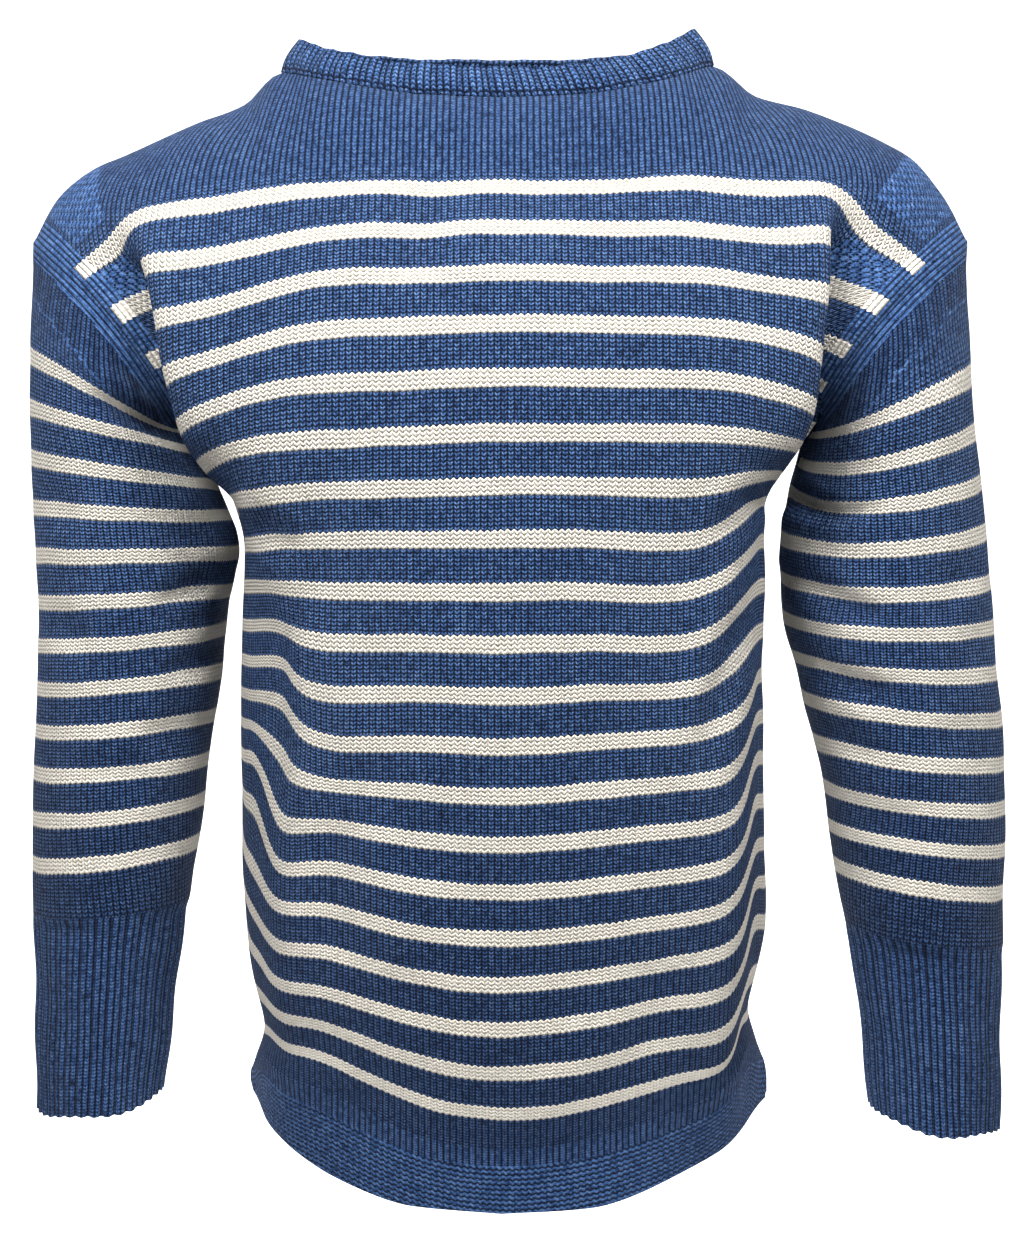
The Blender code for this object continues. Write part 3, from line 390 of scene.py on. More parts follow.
def half_row(side, face, row):
    """Key points of one row from the centre (station 0) to its outer edge (6)."""
    table = SIDES[side][0]
    get = lambda name: float(read(table, name, row))
    z0, y0 = float(read(FRONT, "z", row)), float(read(FRONT, "y", row))
    brow = np.array([get("brow_x"), y0 + (get("turn_y") - y0) * (get("brow_x") / get("turn_x")) ** 3, get("brow_z")])
    turn = np.array([get("turn_x"), get("turn_y"), get("turn_z")])
    fold = np.array([get("fold_x"), get("fold_y"), get("fold_z")])
    centre = np.array([0.0, y0, z0])
    tuck = get("tuck")
    last = edge(side, face, row) * (side, 1, 1)
    if face > 0:
        y1, z1 = float(read(BACK, "y", row)), float(read(BACK, "z", row))
        ease = y1 / -y0
        level = lambda p: z1 + (last[2] - z1) * (p[0] / max(last[0], fold[0])) ** 2.5
        centre = np.array([0.0, y1, z1])
        brow, turn, fold = (np.array([p[0] - 0.003 * (i == 2), -p[1] * ease, level(p)]) for i, p in enumerate((brow, turn, fold)))
        tuck *= 0.7
    gap = last - fold
    deep = np.clip(tuck / 0.020, 0, 1)
    shallow = fold + 0.40 * gap + np.array([-min(tuck, 0), 0, 0])
    pocket = np.array([fold[0] - tuck, 0.55 * last[1] + face * 0.015, fold[2] + 0.40 * gap[2]])
    inner = shallow + (pocket - shallow) * deep
    shallow = fold + 0.80 * gap + np.array([-0.6 * min(tuck, 0), 0, 0])
    facing = last + np.array([-0.010, face * 0.003, 0.006])
    flap = shallow + (facing - shallow) * deep
    half = centre + (brow - centre) * (0.5, 0.125, read(HALF, "drop", row))
    keys = np.array([centre, half, brow, turn, fold, inner, flap, last])
    return keys * (side, 1, 1)


def body_row(face, row, stations):
    """One row of a panel: its points at signed stations, wearer's right to left."""
    left, right = half_row(1, face, row), half_row(-1, face, row)
    keys = np.concatenate([right[:0:-1], left])
    at = np.array(KEY_STATIONS, float)
    return spline(keys, np.concatenate([-at[:0:-1], at]), stations)


def top_row(face, stations):
    """The neckline and shoulder join."""
    out = np.empty((len(stations), 3))
    name = "front" if face < 0 else "back"
    for i, s in enumerate(stations):
        side = 1 if s > 0 else -1
        table = SIDES[side][2]
        out[i] = (
            side * read(table, "x", abs(s)),
            read(table, name + "_y", abs(s)),
            read(table, name + "_z", abs(s)),
        )
    return out


def body_panel(face, rows, stations):
    """The mid surface of the front (face -1) or back (face 1), rows down, stations across."""
    stations = np.asarray(stations, float)
    first = body_row(face, 1.0, stations)
    slope = (body_row(face, 1.25, stations) - first) / 0.25
    top = top_row(face, stations)
    rise = np.stack(
        [
            0 * stations,
            np.full(len(stations), face * -1.0),
            np.interp(np.abs(stations), (0.7, 1.9), (0.55, 0.05)),
        ],
        -1,
    )
    span = 1.0 - ROW_TOP
    reach = np.linalg.norm(first - top, axis=1, keepdims=True)
    arrive = rise / np.linalg.norm(rise, axis=1, keepdims=True) * reach
    grid = []
    for row in rows:
        if row >= 1:
            line = body_row(face, row, stations)
        else:
            t = (1.0 - row) / span
            line = (
                first * (1 + 2 * t) * (1 - t) ** 2
                + top * t * t * (3 - 2 * t)
                - slope * span * t * (1 - t) ** 2
                - arrive * t * t * (1 - t)
            )
            for end, side in ((0, -1), (-1, 1)):
                if abs(stations[end]) == 6:
                    line[end] = edge(side, face, row)
        grid.append(line)
    return np.array(grid)


# ---------------------------------------------------------------- pieces
def mirrored(stations, limit=6):
    inside = [s for s in stations if s <= limit]
    return np.array([-s for s in inside[:0:-1]] + inside, float)


def sleeve_top_row(degrees):
    """Row where the sleeve's cloth starts: the armhole, dipping round the gusset."""
    corner = (ROW_GUSSET - ROW_TOP) * ARM_TURN
    dip = np.clip((np.abs(degrees) - corner) / (180 - corner), 0, 1)
    return SLEEVE_TOP + (SLEEVE_TIP - SLEEVE_TOP) * dip


def sleeve_angles():
    corner = (ROW_GUSSET - ROW_TOP) * ARM_TURN
    front = [(r - ROW_TOP) * ARM_TURN for r in BODY_ROWS if r <= ROW_GUSSET]
    dip = [corner + (180 - corner) * (r - ROW_GUSSET) / (ROW_TIP - ROW_GUSSET) for r in BODY_ROWS if ROW_GUSSET < r <= ROW_TIP]
    half = front + dip
    return np.array(half + [360 - a for a in half[-2:0:-1]])


def signed(degrees):
    return np.where(degrees > 180, degrees - 360, degrees)


def sleeve_grid(side, shares):
    angles = sleeve_angles()
    start = sleeve_top_row(signed(angles))
    rows = start + np.asarray(shares)[:, None] * (SLEEVE_END - start)
    return ring(SIDES[side][3], side, rows, np.broadcast_to(angles, rows.shape))


def cuff_grid(side, rows):
    angles = sleeve_angles()
    rows = np.broadcast_to(np.asarray(rows)[:, None], (len(rows), len(angles)))
    return ring(SIDES[side][4], side, rows, np.broadcast_to(angles, rows.shape))


def band_grid(rows):
    """The neckband: base on the neckline and the neck gussets, rows upward."""
    stations = mirrored(STATIONS, NECK_CORNER)
    base = np.concatenate([top_row(-1, stations), top_row(1, stations)[::-1]])
    upper = []
    for face, line in ((-1, stations), (1, stations[::-1])):
        name = "front" if face < 0 else "back"
        for s in line:
            side = 1 if s > 0 else -1
            table = SIDES[side][5]
            upper.append((side * read(table, "x", abs(s)), read(table, name + "_y", abs(s)), read(table, name + "_z", abs(s))))
    upper = np.array(upper)
    out = []
    for t in rows:
        line = base + (upper - base) * t
        centre = line * (1, 1, 0)
        bulge = 0.0016 * np.sin(np.pi * t)
        out.append(line + bulge * centre / np.linalg.norm(centre, axis=1, keepdims=True))
    return np.array(out)


def welt_grid(face, rows):
    stations = mirrored(STATIONS)
    above = body_row(face, ROW_HEM, stations)
    name = "front" if face < 0 else "back"
    below = []
    for s in stations:
        side = 1 if s > 0 else -1
        table = SIDES[side][6]
        below.append((side * read(table, "x", abs(s)), read(table, name + "_y", abs(s)), read(table, name + "_z", abs(s))))
    below = np.array(below)
    # the garter stitch is wider than the rib above it, so the corners flare
    flare = np.clip((np.abs(stations) - 3) / 3, 0, 1) ** 2 * 0.006 * np.sign(stations)
    out = []
    for t in rows:
        line = above + (below - above) * t
        line[:, 0] += flare * np.sin(np.pi * min(1, t * 1.3) / 2) * (1 - 0.5 * t)
        out.append(line)
    return np.array(out)


def gusset_grid(side):
    """The folded underarm diamond: a patch between front, back and sleeve edges."""
    rows = [r for r in BODY_ROWS if ROW_GUSSET <= r <= ROW_TIP]
    steps = (np.array(rows) - ROW_GUSSET) / (ROW_TIP - ROW_GUSSET)
    corner = (ROW_GUSSET - ROW_TOP) * ARM_TURN

    def body_edge(face, t):
        return edge(side, face, ROW_GUSSET + (ROW_TIP - ROW_GUSSET) * t)

    def sleeve_edge(face, t):
        degrees = -face * (corner + (180 - corner) * t)
        row = sleeve_top_row(np.array(degrees))
        return ring(SIDES[side][3], side, row, np.array(degrees))

    # a runs front corner -> body tip, b runs front corner -> sleeve tip
    front_body = np.array([body_edge(-1, t) for t in steps])
    front_sleeve = np.array([sleeve_edge(-1, t) for t in steps])
    back_body = np.array([body_edge(1, t) for t in steps])[::-1]
    back_sleeve = np.array([sleeve_edge(1, t) for t in steps])[::-1]
    grid = np.empty((len(steps), len(steps), 3))
    c00, c10, c01, c11 = front_body[0], front_body[-1], front_sleeve[-1], back_body[-1]
    for i, a in enumerate(steps):
        for j, b in enumerate(steps):
            ruled = (1 - b) * front_body[i] + b * back_sleeve[i]
            other = (1 - a) * front_sleeve[j] + a * back_body[j]
            flat = (1 - a) * (1 - b) * c00 + a * (1 - b) * c10 + (1 - a) * b * c01 + a * b * c11
            grid[i, j] = ruled + other - flat
            grid[i, j, 2] += GUSSET_RISE * (16 * a * b * (1 - a) * (1 - b)) ** 0.75
    return grid



# ---------------------------------------------------------------- walls
def normals_of(grid, closed):
    """Unit normals of a grid of points; closed grids join their last column to the first."""
    if closed:
        across = np.roll(grid, -1, 1) - np.roll(grid, 1, 1)
    else:
        across = np.gradient(grid, axis=1)
    down = np.gradient(grid, axis=0)
    out = np.cross(across, down)
    size = np.linalg.norm(out, axis=2, keepdims=True)
    out = np.where(size > 1e-12, out, out[:, :1])  # a triangle's point takes its base's
    return out / np.linalg.norm(out, axis=2, keepdims=True)


class Piece:
    """A wall round a grid of points. Its outer face looks along out, or off a tube's axis."""

    def __init__(self, name, grid, wall, closed=False, out=None, gap=SEAM * 0.55, colour=BLUE):
        self.name, self.grid, self.wall, self.closed = name, grid, wall, closed
        self.gap = gap
        normal = normals_of(grid, closed)
        off = grid - grid.mean(1, keepdims=True) if out is None else np.array(out, float)
        self.flip = bool((normal * off).sum() < 0)
        self.normal = -normal if self.flip else normal
        self.colour = colour
        rows, cols = grid.shape[:2]
        rim = np.zeros((rows, cols), bool)
        rim[0] = rim[-1] = True
        if not closed:
            rim[:, 0] = rim[:, -1] = True
        self.rim = rim
        self.seam = np.zeros((rows, cols), bool)
        self.scale = np.ones((rows, cols))


def share_seams(pieces):
    """Where edges of pieces meet, both take one normal, so that their rims lie flat together."""
    groups, centres = [], np.empty((0, 3))
    for piece in pieces:
        for i, j in np.argwhere(piece.rim):
            point = piece.grid[i, j]
            away = np.abs(centres - point).max(1) if len(centres) else np.array([1.0])
            if away.min() < 1e-4:
                groups[int(away.argmin())].append((piece, i, j))
            else:
                groups.append([(piece, i, j)])
                centres = np.vstack([centres, point])
    for group in groups:
        if len({id(entry[0]) for entry in group}) < 2:
            continue
        total = sum(piece.normal[i, j] for piece, i, j in group)
        size = np.linalg.norm(total)
        for piece, i, j in group:
            shared = total / size if size > 0.25 * len(group) else piece.normal[i, j]
            lean = max(float(shared @ piece.normal[i, j]), 0.7)
            piece.seam[i, j] = True
            piece.scale[i, j] = 1 / lean
            piece.meet = getattr(piece, "meet", {})
            piece.meet[(i, j)] = shared
    for piece in pieces:
        for (i, j), shared in getattr(piece, "meet", {}).items():
            piece.normal[i, j] = shared


def draw_back(piece):
    """Seam edges step back by half the seam gap, along the cloth."""
    grid, rows, cols = piece.grid, *piece.grid.shape[:2]
    moved = grid.copy()
    for i, j in np.argwhere(piece.seam):
        step = np.zeros(3)
        if i in (0, rows - 1):
            step += direction(grid, i, j, (1 if i == 0 else -1), 0, piece)
        if not piece.closed and j in (0, cols - 1):
            step += direction(grid, i, j, 0, (1 if j == 0 else -1), piece)
        moved[i, j] = grid[i, j] + step * piece.gap
    if np.allclose(grid[0, -1], grid[-1, -1]):  # a triangle's last column is one point
        moved[:, -1] = grid[0, -1] + (grid[:, 0].mean(0) - grid[0, -1]) * 0.06
        piece.normal[:, -1] = piece.normal[0, -1]
    if piece.gap > SEAM * 4:  # a gusset's sharp points stop short of the corner stitch
        for i, k in ((0, 1), (-1, -2)):
            moved[i, i] = moved[i, i] + (moved[k, k] - moved[i, i]) * POINT_SHORT
    piece.grid = moved


def direction(grid, i, j, di, dj, piece):
    """Unit vector from an edge point into the cloth, square to the edge and the rim."""
    rows, cols = grid.shape[:2]
    inward = grid[i + di, (j + dj) % cols] - grid[i, j]
    if di:
        before, after = (j - 1) % cols if piece.closed else max(j - 1, 0), (j + 1) % cols if piece.closed else min(j + 1, cols - 1)
        along = grid[i, after] - grid[i, before]
    else:
        along = grid[min(i + 1, rows - 1), j] - grid[max(i - 1, 0), j]
    square = np.cross(piece.normal[i, j], along)
    square /= np.linalg.norm(square)
    return square if square @ inward > 0 else -square


def neck_gusset_grid(side):
    """The small triangle at the neck end of a shoulder join; its last column is one point."""
    stations = [s * side for s in STATIONS if NECK_CORNER <= s <= NECK_GUSSET_END]
    front, back = top_row(-1, stations), top_row(1, stations)
    return np.array([front, back])



# ================================================================ the looks
WALE = 0.0036  # width of one stitch
COURSES = 12  # courses in one stripe repeat
YOKE_ROW = 0.0285  # height of twelve courses in the plain yoke
STRIPE = 0.175  # half a stripe, as a share of the repeat
BODY_STRIPES, SLEEVE_STRIPES = 20, 12
FADE = 0.016  # creases die out this far from a seam
TOUCH = SEAM * 0.06  # the drawn pieces meet at their seams

BODY_ROWS = tuple(np.round(np.arange(-1.2, 21.1001, 0.1), 4))
STATIONS = tuple(
    sorted(
        {*np.round(np.arange(0, 1.04, 0.032), 4)}
        | {1.08, NECK_CORNER, NECK_GUSSET_END}
        | {*np.round(np.arange(1.2, 3.0, 0.075), 4)}
        | {*np.round(np.arange(3.0, 6.0001, 0.1), 4)}
    )
)
SLEEVE_ROWS = tuple(np.linspace(0, 1, 132))
CUFF_ROWS = tuple(np.linspace(0, 1, 58))
WELT_ROWS = tuple(np.linspace(0, 1, 60))
BAND_ROWS = tuple(np.linspace(0, 1, 14))
WELT_RIB = 0.26  # share of the welt that is the short ribbed strip

# main creases: where each starts, bends and ends, half width and depth
# in metres. A trough is positive, a ridge negative. Face -1 is the front, 1 the back.
CREASE_COLUMNS = ("piece", "face", "x0", "z0", "x1", "z1", "x2", "z2", "width", "depth")
CREASES = (
    CREASE_COLUMNS,
    ("body_front", -1, -0.119, -0.291, -0.125, -0.363, -0.121, -0.442, 0.009, 0.0022),
    ("body_front", -1, -0.14, -0.24, -0.124, -0.255, -0.105, -0.268, 0.008, 0.0018),
    ("body_front", -1, -0.108, -0.273, -0.092, -0.332, -0.085, -0.392, 0.016, -0.0016),
    ("body_front", -1, 0.146, -0.23, 0.13, -0.242, 0.109, -0.262, 0.008, 0.0026),
    ("body_front", -1, 0.143, -0.291, 0.122, -0.335, 0.112, -0.402, 0.009, 0.0024),
    ("body_front", -1, 0.131, -0.268, 0.115, -0.29, 0.097, -0.322, 0.01, -0.0014),
    ("body_front", -1, -0.089, -0.398, -0.093, -0.447, -0.098, -0.5, 0.013, 0.0016),
    ("body_front", -1, -0.044, -0.425, -0.047, -0.469, -0.053, -0.513, 0.02, -0.0015),
    ("body_front", -1, -0.035, -0.056, -0.039, -0.093, -0.044, -0.133, 0.018, 0.0014),
    ("body_front", -1, 0.101, -0.076, 0.105, -0.134, 0.107, -0.198, 0.026, -0.0012),
    ("body_front", -1, 0.032, -0.453, 0.038, -0.497, 0.04, -0.541, 0.022, 0.0012),
    ("body_front", -1, 0.076, -0.482, 0.082, -0.521, 0.085, -0.563, 0.015, 0.0014),
    ("body_front", -1, -0.012, -0.48, -0.015, -0.519, -0.017, -0.563, 0.02, -0.0012),
    ("body_front", -1, 0.032, -0.268, 0.048, -0.343, 0.046, -0.425, 0.03, 0.001),
    ("sleeve_right", -1, -0.233, -0.172, -0.207, -0.189, -0.179, -0.205, 0.006, 0.0028),
    ("sleeve_right", -1, -0.247, -0.142, -0.216, -0.174, -0.183, -0.193, 0.008, -0.0018),
    ("sleeve_right", -1, -0.156, -0.269, -0.18, -0.287, -0.204, -0.295, 0.006, 0.002),
    ("sleeve_right", -1, -0.159, -0.318, -0.178, -0.329, -0.196, -0.334, 0.007, 0.002),
    ("sleeve_right", -1, -0.166, -0.362, -0.189, -0.37, -0.215, -0.372, 0.009, 0.0015),
    ("sleeve_right", -1, -0.265, -0.225, -0.25, -0.24, -0.234, -0.248, 0.009, 0.0012),
    ("sleeve_right", -1, -0.263, -0.299, -0.246, -0.312, -0.225, -0.317, 0.01, 0.0015),
    ("sleeve_right", -1, -0.256, -0.388, -0.221, -0.393, -0.189, -0.395, 0.009, 0.0012),
    ("sleeve_right", -1, -0.202, -0.225, -0.179, -0.236, -0.157, -0.248, 0.009, -0.0012),
    ("sleeve_left", -1, 0.165, -0.225, 0.189, -0.243, 0.22, -0.236, 0.0055, 0.0026),
    ("sleeve_left", -1, 0.164, -0.271, 0.195, -0.294, 0.225, -0.305, 0.007, 0.0024),
    ("sleeve_left", -1, 0.169, -0.317, 0.201, -0.341, 0.235, -0.346, 0.007, 0.0022),
    ("sleeve_left", -1, 0.179, -0.363, 0.201, -0.376, 0.222, -0.386, 0.008, 0.0016),
    ("sleeve_left", -1, 0.231, -0.189, 0.216, -0.202, 0.2, -0.214, 0.008, -0.0014),
    ("sleeve_left", -1, 0.281, -0.271, 0.264, -0.28, 0.247, -0.288, 0.009, 0.0012),
    ("sleeve_left", -1, 0.279, -0.363, 0.259, -0.37, 0.239, -0.375, 0.009, 0.0012),
    ("sleeve_left", -1, 0.19, -0.41, 0.219, -0.418, 0.248, -0.417, 0.009, 0.0012),
    ("sleeve_right", -1, -0.168, -0.238, -0.16, -0.268, -0.163, -0.3, 0.011, -0.003),
    ("sleeve_left", -1, 0.172, -0.235, 0.167, -0.262, 0.169, -0.29, 0.011, -0.0026),
    ("body_back", 1, -0.15, -0.205, -0.11, -0.235, -0.06, -0.262, 0.01, 0.002),
    ("body_back", 1, 0.152, -0.198, 0.115, -0.24, 0.07, -0.275, 0.01, 0.002),
    ("body_back", 1, -0.135, -0.3, -0.115, -0.35, -0.105, -0.43, 0.011, 0.0022),
    ("body_back", 1, 0.138, -0.29, 0.118, -0.36, 0.112, -0.45, 0.011, 0.0022),
    ("body_back", 1, -0.085, -0.372, 0.0, -0.36, 0.075, -0.378, 0.015, 0.0018),
    ("body_back", 1, -0.07, -0.42, -0.062, -0.49, -0.07, -0.57, 0.014, 0.0018),
    ("body_back", 1, 0.02, -0.44, 0.03, -0.5, 0.026, -0.57, 0.016, 0.0016),
    ("body_back", 1, 0.092, -0.43, 0.086, -0.5, 0.092, -0.56, 0.012, 0.0016),
    ("body_back", 1, -0.02, -0.11, -0.015, -0.18, -0.022, -0.26, 0.024, 0.0012),
    ("body_back", 1, -0.165, -0.07, -0.16, -0.12, -0.15, -0.18, 0.014, -0.0014),
    ("body_back", 1, 0.165, -0.065, 0.16, -0.12, 0.152, -0.17, 0.014, -0.0014),
    ("sleeve_right", 1, -0.185, -0.19, -0.215, -0.222, -0.25, -0.238, 0.008, 0.0022),
    ("sleeve_right", 1, -0.172, -0.255, -0.205, -0.28, -0.245, -0.288, 0.007, 0.0022),
    ("sleeve_right", 1, -0.17, -0.31, -0.205, -0.328, -0.25, -0.325, 0.008, 0.0018),
    ("sleeve_right", 1, -0.268, -0.35, -0.24, -0.372, -0.205, -0.38, 0.009, 0.0015),
    ("sleeve_left", 1, 0.182, -0.185, 0.215, -0.216, 0.255, -0.228, 0.008, 0.0022),
    ("sleeve_left", 1, 0.176, -0.262, 0.21, -0.29, 0.255, -0.3, 0.007, 0.0022),
    ("sleeve_left", 1, 0.182, -0.33, 0.22, -0.345, 0.262, -0.34, 0.008, 0.0018),
    ("sleeve_left", 1, 0.285, -0.37, 0.255, -0.392, 0.222, -0.4, 0.009, 0.0015),
)


def arcs(grid, axis, closed=False):
    """Running length along one axis of a grid."""
    if closed:
        grid = np.concatenate([grid, grid[:, :1]], 1)
    step = np.linalg.norm(np.diff(grid, axis=axis), axis=2)
    zero = np.zeros_like(step[:1] if axis == 0 else step[:, :1])
    return np.concatenate([zero, np.cumsum(step, axis)], axis)


def soft(x):
    x = np.clip(x, 0, 1)
    return x * x * (3 - 2 * x)


def near_line(grid, points, face):
    """Distance from a crease in the plan of the front or back, and how far along it."""
    p = grid[..., (0, 2)]
    best = np.full(p.shape[:2], 9.0)
    along = np.zeros(p.shape[:2])
    t = np.linspace(0, 1, 13)[:, None]
    curve = points[0] * (1 - t) ** 2 + 2 * points[1] * t * (1 - t) + points[2] * t * t
    for k in range(12):
        a, b = curve[k], curve[k + 1]
        d = b - a
        s = np.clip(((p - a) @ d) / (d @ d), 0, 1)
        off = np.linalg.norm(p - a - s[..., None] * d, axis=2)
        nearer = off < best
        best = np.where(nearer, off, best)
        along = np.where(nearer, (k + s) / 12, along)
    side = soft(0.5 + face * grid[..., 1] / 0.03)
    return best, along, side


def creased(name, grid, normal, keep):
    """Moves the grid along its normal by the piece's creases, where keep allows it."""
    lift = np.zeros(grid.shape[:2])
    for line in CREASES[1:]:
        c = dict(zip(CREASES[0], line))
        if c["piece"] != name:
            continue
        points = np.array([(c["x0"], c["z0"]), (c["x1"], c["z1"]), (c["x2"], c["z2"])])
        # the middle point is on the crease, so its control point lies beyond it
        points[1] = 2 * points[1] - (points[0] + points[2]) / 2
        off, along, side = near_line(grid, points, c["face"])
        q = off / c["width"]
        ends = soft(along / 0.3) * soft((1 - along) / 0.35)
        profile = np.exp(-q * q) - 0.30 * np.exp(-(((q - 1.9) / 0.9) ** 2))
        lift -= 1.5 * c["depth"] * profile * ends * side
    x, y, z = grid[..., 0], grid[..., 1], grid[..., 2]
    uneven = (
        np.sin(x * 61 + 1.3 * np.sin(z * 37 + y * 20) + 0.4)
        + np.sin(z * 83 + 1.7 * np.sin(x * 43 + 1.1) + y * 31)
        + np.sin(x * 117 - z * 95 + y * 66 + 2.0)
    ) / 3
    lift += 0.0008 * uneven
    return grid + normal * (lift * keep)[..., None]


def clearance(grid, closed, joined):
    """1 away from the joined rims (top, bottom, left, right), 0 at them."""
    rows = arcs(grid, 0)
    keep = np.ones(grid.shape[:2])
    if "top" in joined:
        keep = np.minimum(keep, soft(rows / FADE))
    if "bottom" in joined:
        keep = np.minimum(keep, soft((rows[-1] - rows) / FADE))
    if "sides" in joined and not closed:
        cols = arcs(grid, 1)
        keep = np.minimum(keep, soft(np.minimum(cols, cols[:, -1:] - cols) / FADE))
    return keep


# ---------------------------------------------------------------- stitch charts
def open_chart(u, v):
    return u[:, :-1], u[:, 1:], v[:, :-1], v[:, 1:]


def tube_chart(u, v, half):
    """Stitches counted both ways from the outermost line, meeting at the underarm."""
    total = u[:, -1:]
    right = np.concatenate([u[:, : half + 1], u[:, half + 1 :] - total], 1)
    left = right.copy()
    left[:, half] = u[:, half] - total[:, 0]
    around = np.concatenate([v, v[:, :1]], 1)
    a = np.where(np.arange(u.shape[1] - 1) >= half, left[:, :-1], right[:, :-1])
    return a, right[:, 1:], around[:, :-1], around[:, 1:]


def loop_chart(u, v):
    around = np.concatenate([v, v[:, :1]], 1)
    return u[:, :-1], u[:, 1:], around[:, :-1], around[:, 1:]


# ---------------------------------------------------------------- meshes
def mesh_of(piece, charts, material, collection):
    """The closed wall with its stitch charts as UV maps."""
    grid, normal = piece.grid, piece.normal
    rows, cols = grid.shape[:2]
    half = (piece.wall / 2 * piece.scale)[..., None]
    points = np.concatenate([(grid + normal * half).reshape(-1, 3), (grid - normal * half).reshape(-1, 3)])
    n = rows * cols
    last = cols if piece.closed else cols - 1
    i, j = np.meshgrid(np.arange(rows - 1), np.arange(last), indexing="ij")
    k = (j + 1) % cols
    a, b, c, d = i * cols + j, i * cols + k, (i + 1) * cols + k, (i + 1) * cols + j
    corner = [np.stack([i, j, 0 * i], -1), np.stack([i, j, 0 * i + 1], -1), np.stack([i + 1, j, 0 * i + 1], -1), np.stack([i + 1, j, 0 * i], -1)]
    outer = np.stack([a, b, c, d], -1).reshape(-1, 4)
    at_outer = np.stack(corner, -2).reshape(-1, 4, 3)
    inner = np.stack([n + d, n + c, n + b, n + a], -1).reshape(-1, 4)
    at_inner = at_outer[:, ::-1]
    faces, at = [outer, inner], [at_outer, at_inner]
    jj = np.arange(last)
    kk = (jj + 1) % cols
    zero = 0 * jj
    a, b = (rows - 1) * cols + jj, (rows - 1) * cols + kk
    faces += [np.stack([jj, n + jj, n + kk, kk], -1), np.stack([b, n + b, n + a, a], -1)]
    top = [np.stack([zero, jj, zero + s], -1) for s in (0, 0, 1, 1)]
    low = [np.stack([zero + rows - 1, jj, zero + s], -1) for s in (1, 1, 0, 0)]
    at += [np.stack(top, -2), np.stack(low, -2)]
    if not piece.closed:
        ii = np.arange(rows - 1)
        zero = 0 * ii
        a, d = ii * cols, (ii + 1) * cols
        b, c = a + cols - 1, d + cols - 1
        faces += [np.stack([a, d, n + d, n + a], -1), np.stack([c, b, n + b, n + c], -1)]
        at += [
            np.stack([np.stack([ii + s, zero, zero], -1) for s in (0, 1, 1, 0)], -2),
            np.stack([np.stack([ii + s, zero + last - 1, zero + 1], -1) for s in (1, 0, 0, 1)], -2),
        ]
    faces, at = np.concatenate(faces), np.concatenate(at)
    if piece.flip:
        faces, at = faces[:, ::-1], at[:, ::-1]
    mesh = bpy.data.meshes.new(piece.name)
    mesh.from_pydata(points, [], faces)
    for name, (ul, ur, vl, vr) in charts.items():
        layer = mesh.uv_layers.new(name=name)
        r, col, s = at[..., 0], np.minimum(at[..., 1], ul.shape[1] - 1), at[..., 2]
        u = np.where(s == 0, ul[r, col], ur[r, col])
        v = np.where(s == 0, vl[r, col], vr[r, col])
        layer.data.foreach_set("uv", np.stack([u, v], -1).reshape(-1).astype(np.float32))
    mesh.shade_smooth()
    mesh.set_sharp_from_angle(angle=np.radians(60))
    mesh.materials.append(material)
    mesh.validate()
    obj = bpy.data.objects.new("knit_" + piece.name, mesh)
    collection.objects.link(obj)
    print(piece.name, "triangles", len(faces) * 2)
    return obj


# ---------------------------------------------------------------- shader sums
class Sum:
    """A number in a node tree; arithmetic on it adds Math nodes."""

    tree = None

    def __init__(self, socket):
        self.socket = socket

    @classmethod
    def node(cls, operation, *values):
        made = cls.tree.nodes.new("ShaderNodeMath")
        made.operation = operation
        for slot, value in zip(made.inputs, values):
            if isinstance(value, Sum):
                cls.tree.links.new(value.socket, slot)
            else:
                slot.default_value = float(value)
        return cls(made.outputs[0])

    def __add__(self, other):
        return Sum.node("ADD", self, other)

    __radd__ = __add__

    def __sub__(self, other):
        return Sum.node("SUBTRACT", self, other)

    def __rsub__(self, other):
        return Sum.node("SUBTRACT", other, self)

    def __mul__(self, other):
        return Sum.node("MULTIPLY", self, other)

    __rmul__ = __mul__

    def __truediv__(self, other):
        return Sum.node("DIVIDE", self, other)

    def __pow__(self, other):
        return Sum.node("POWER", self, other)

    def __abs__(self):
        return Sum.node("ABSOLUTE", self)

    def fract(self):
        return Sum.node("FRACT", self)

    def floor(self):
        return Sum.node("FLOOR", self)

    def sin(self):
        return Sum.node("SINE", self)

    def over(self, edge):
        return Sum.node("GREATER_THAN", self, edge)

    def under(self, edge):
        return Sum.node("LESS_THAN", self, edge)

    def low(self, other):
        return Sum.node("MINIMUM", self, other)

    def high(self, other):
        return Sum.node("MAXIMUM", self, other)

    def clamp(self):
        return Sum.node("MINIMUM", Sum.node("MAXIMUM", self, 0), 1)

    def ramp(self, lo, hi):
        """Smooth step from lo to hi."""
        made = Sum.tree.nodes.new("ShaderNodeMapRange")
        made.interpolation_type = "SMOOTHSTEP"
        Sum.tree.links.new(self.socket, made.inputs["Value"])
        made.inputs["From Min"].default_value = lo
        made.inputs["From Max"].default_value = hi
        return Sum(made.outputs["Result"])


def blend(a, b, share):
    return a + (b - a) * share


def chart(tree, name):
    uv = tree.nodes.new("ShaderNodeUVMap")
    uv.uv_map = name
    split = tree.nodes.new("ShaderNodeSeparateXYZ")
    tree.links.new(uv.outputs[0], split.inputs[0])
    return Sum(split.outputs[0]), Sum(split.outputs[1])


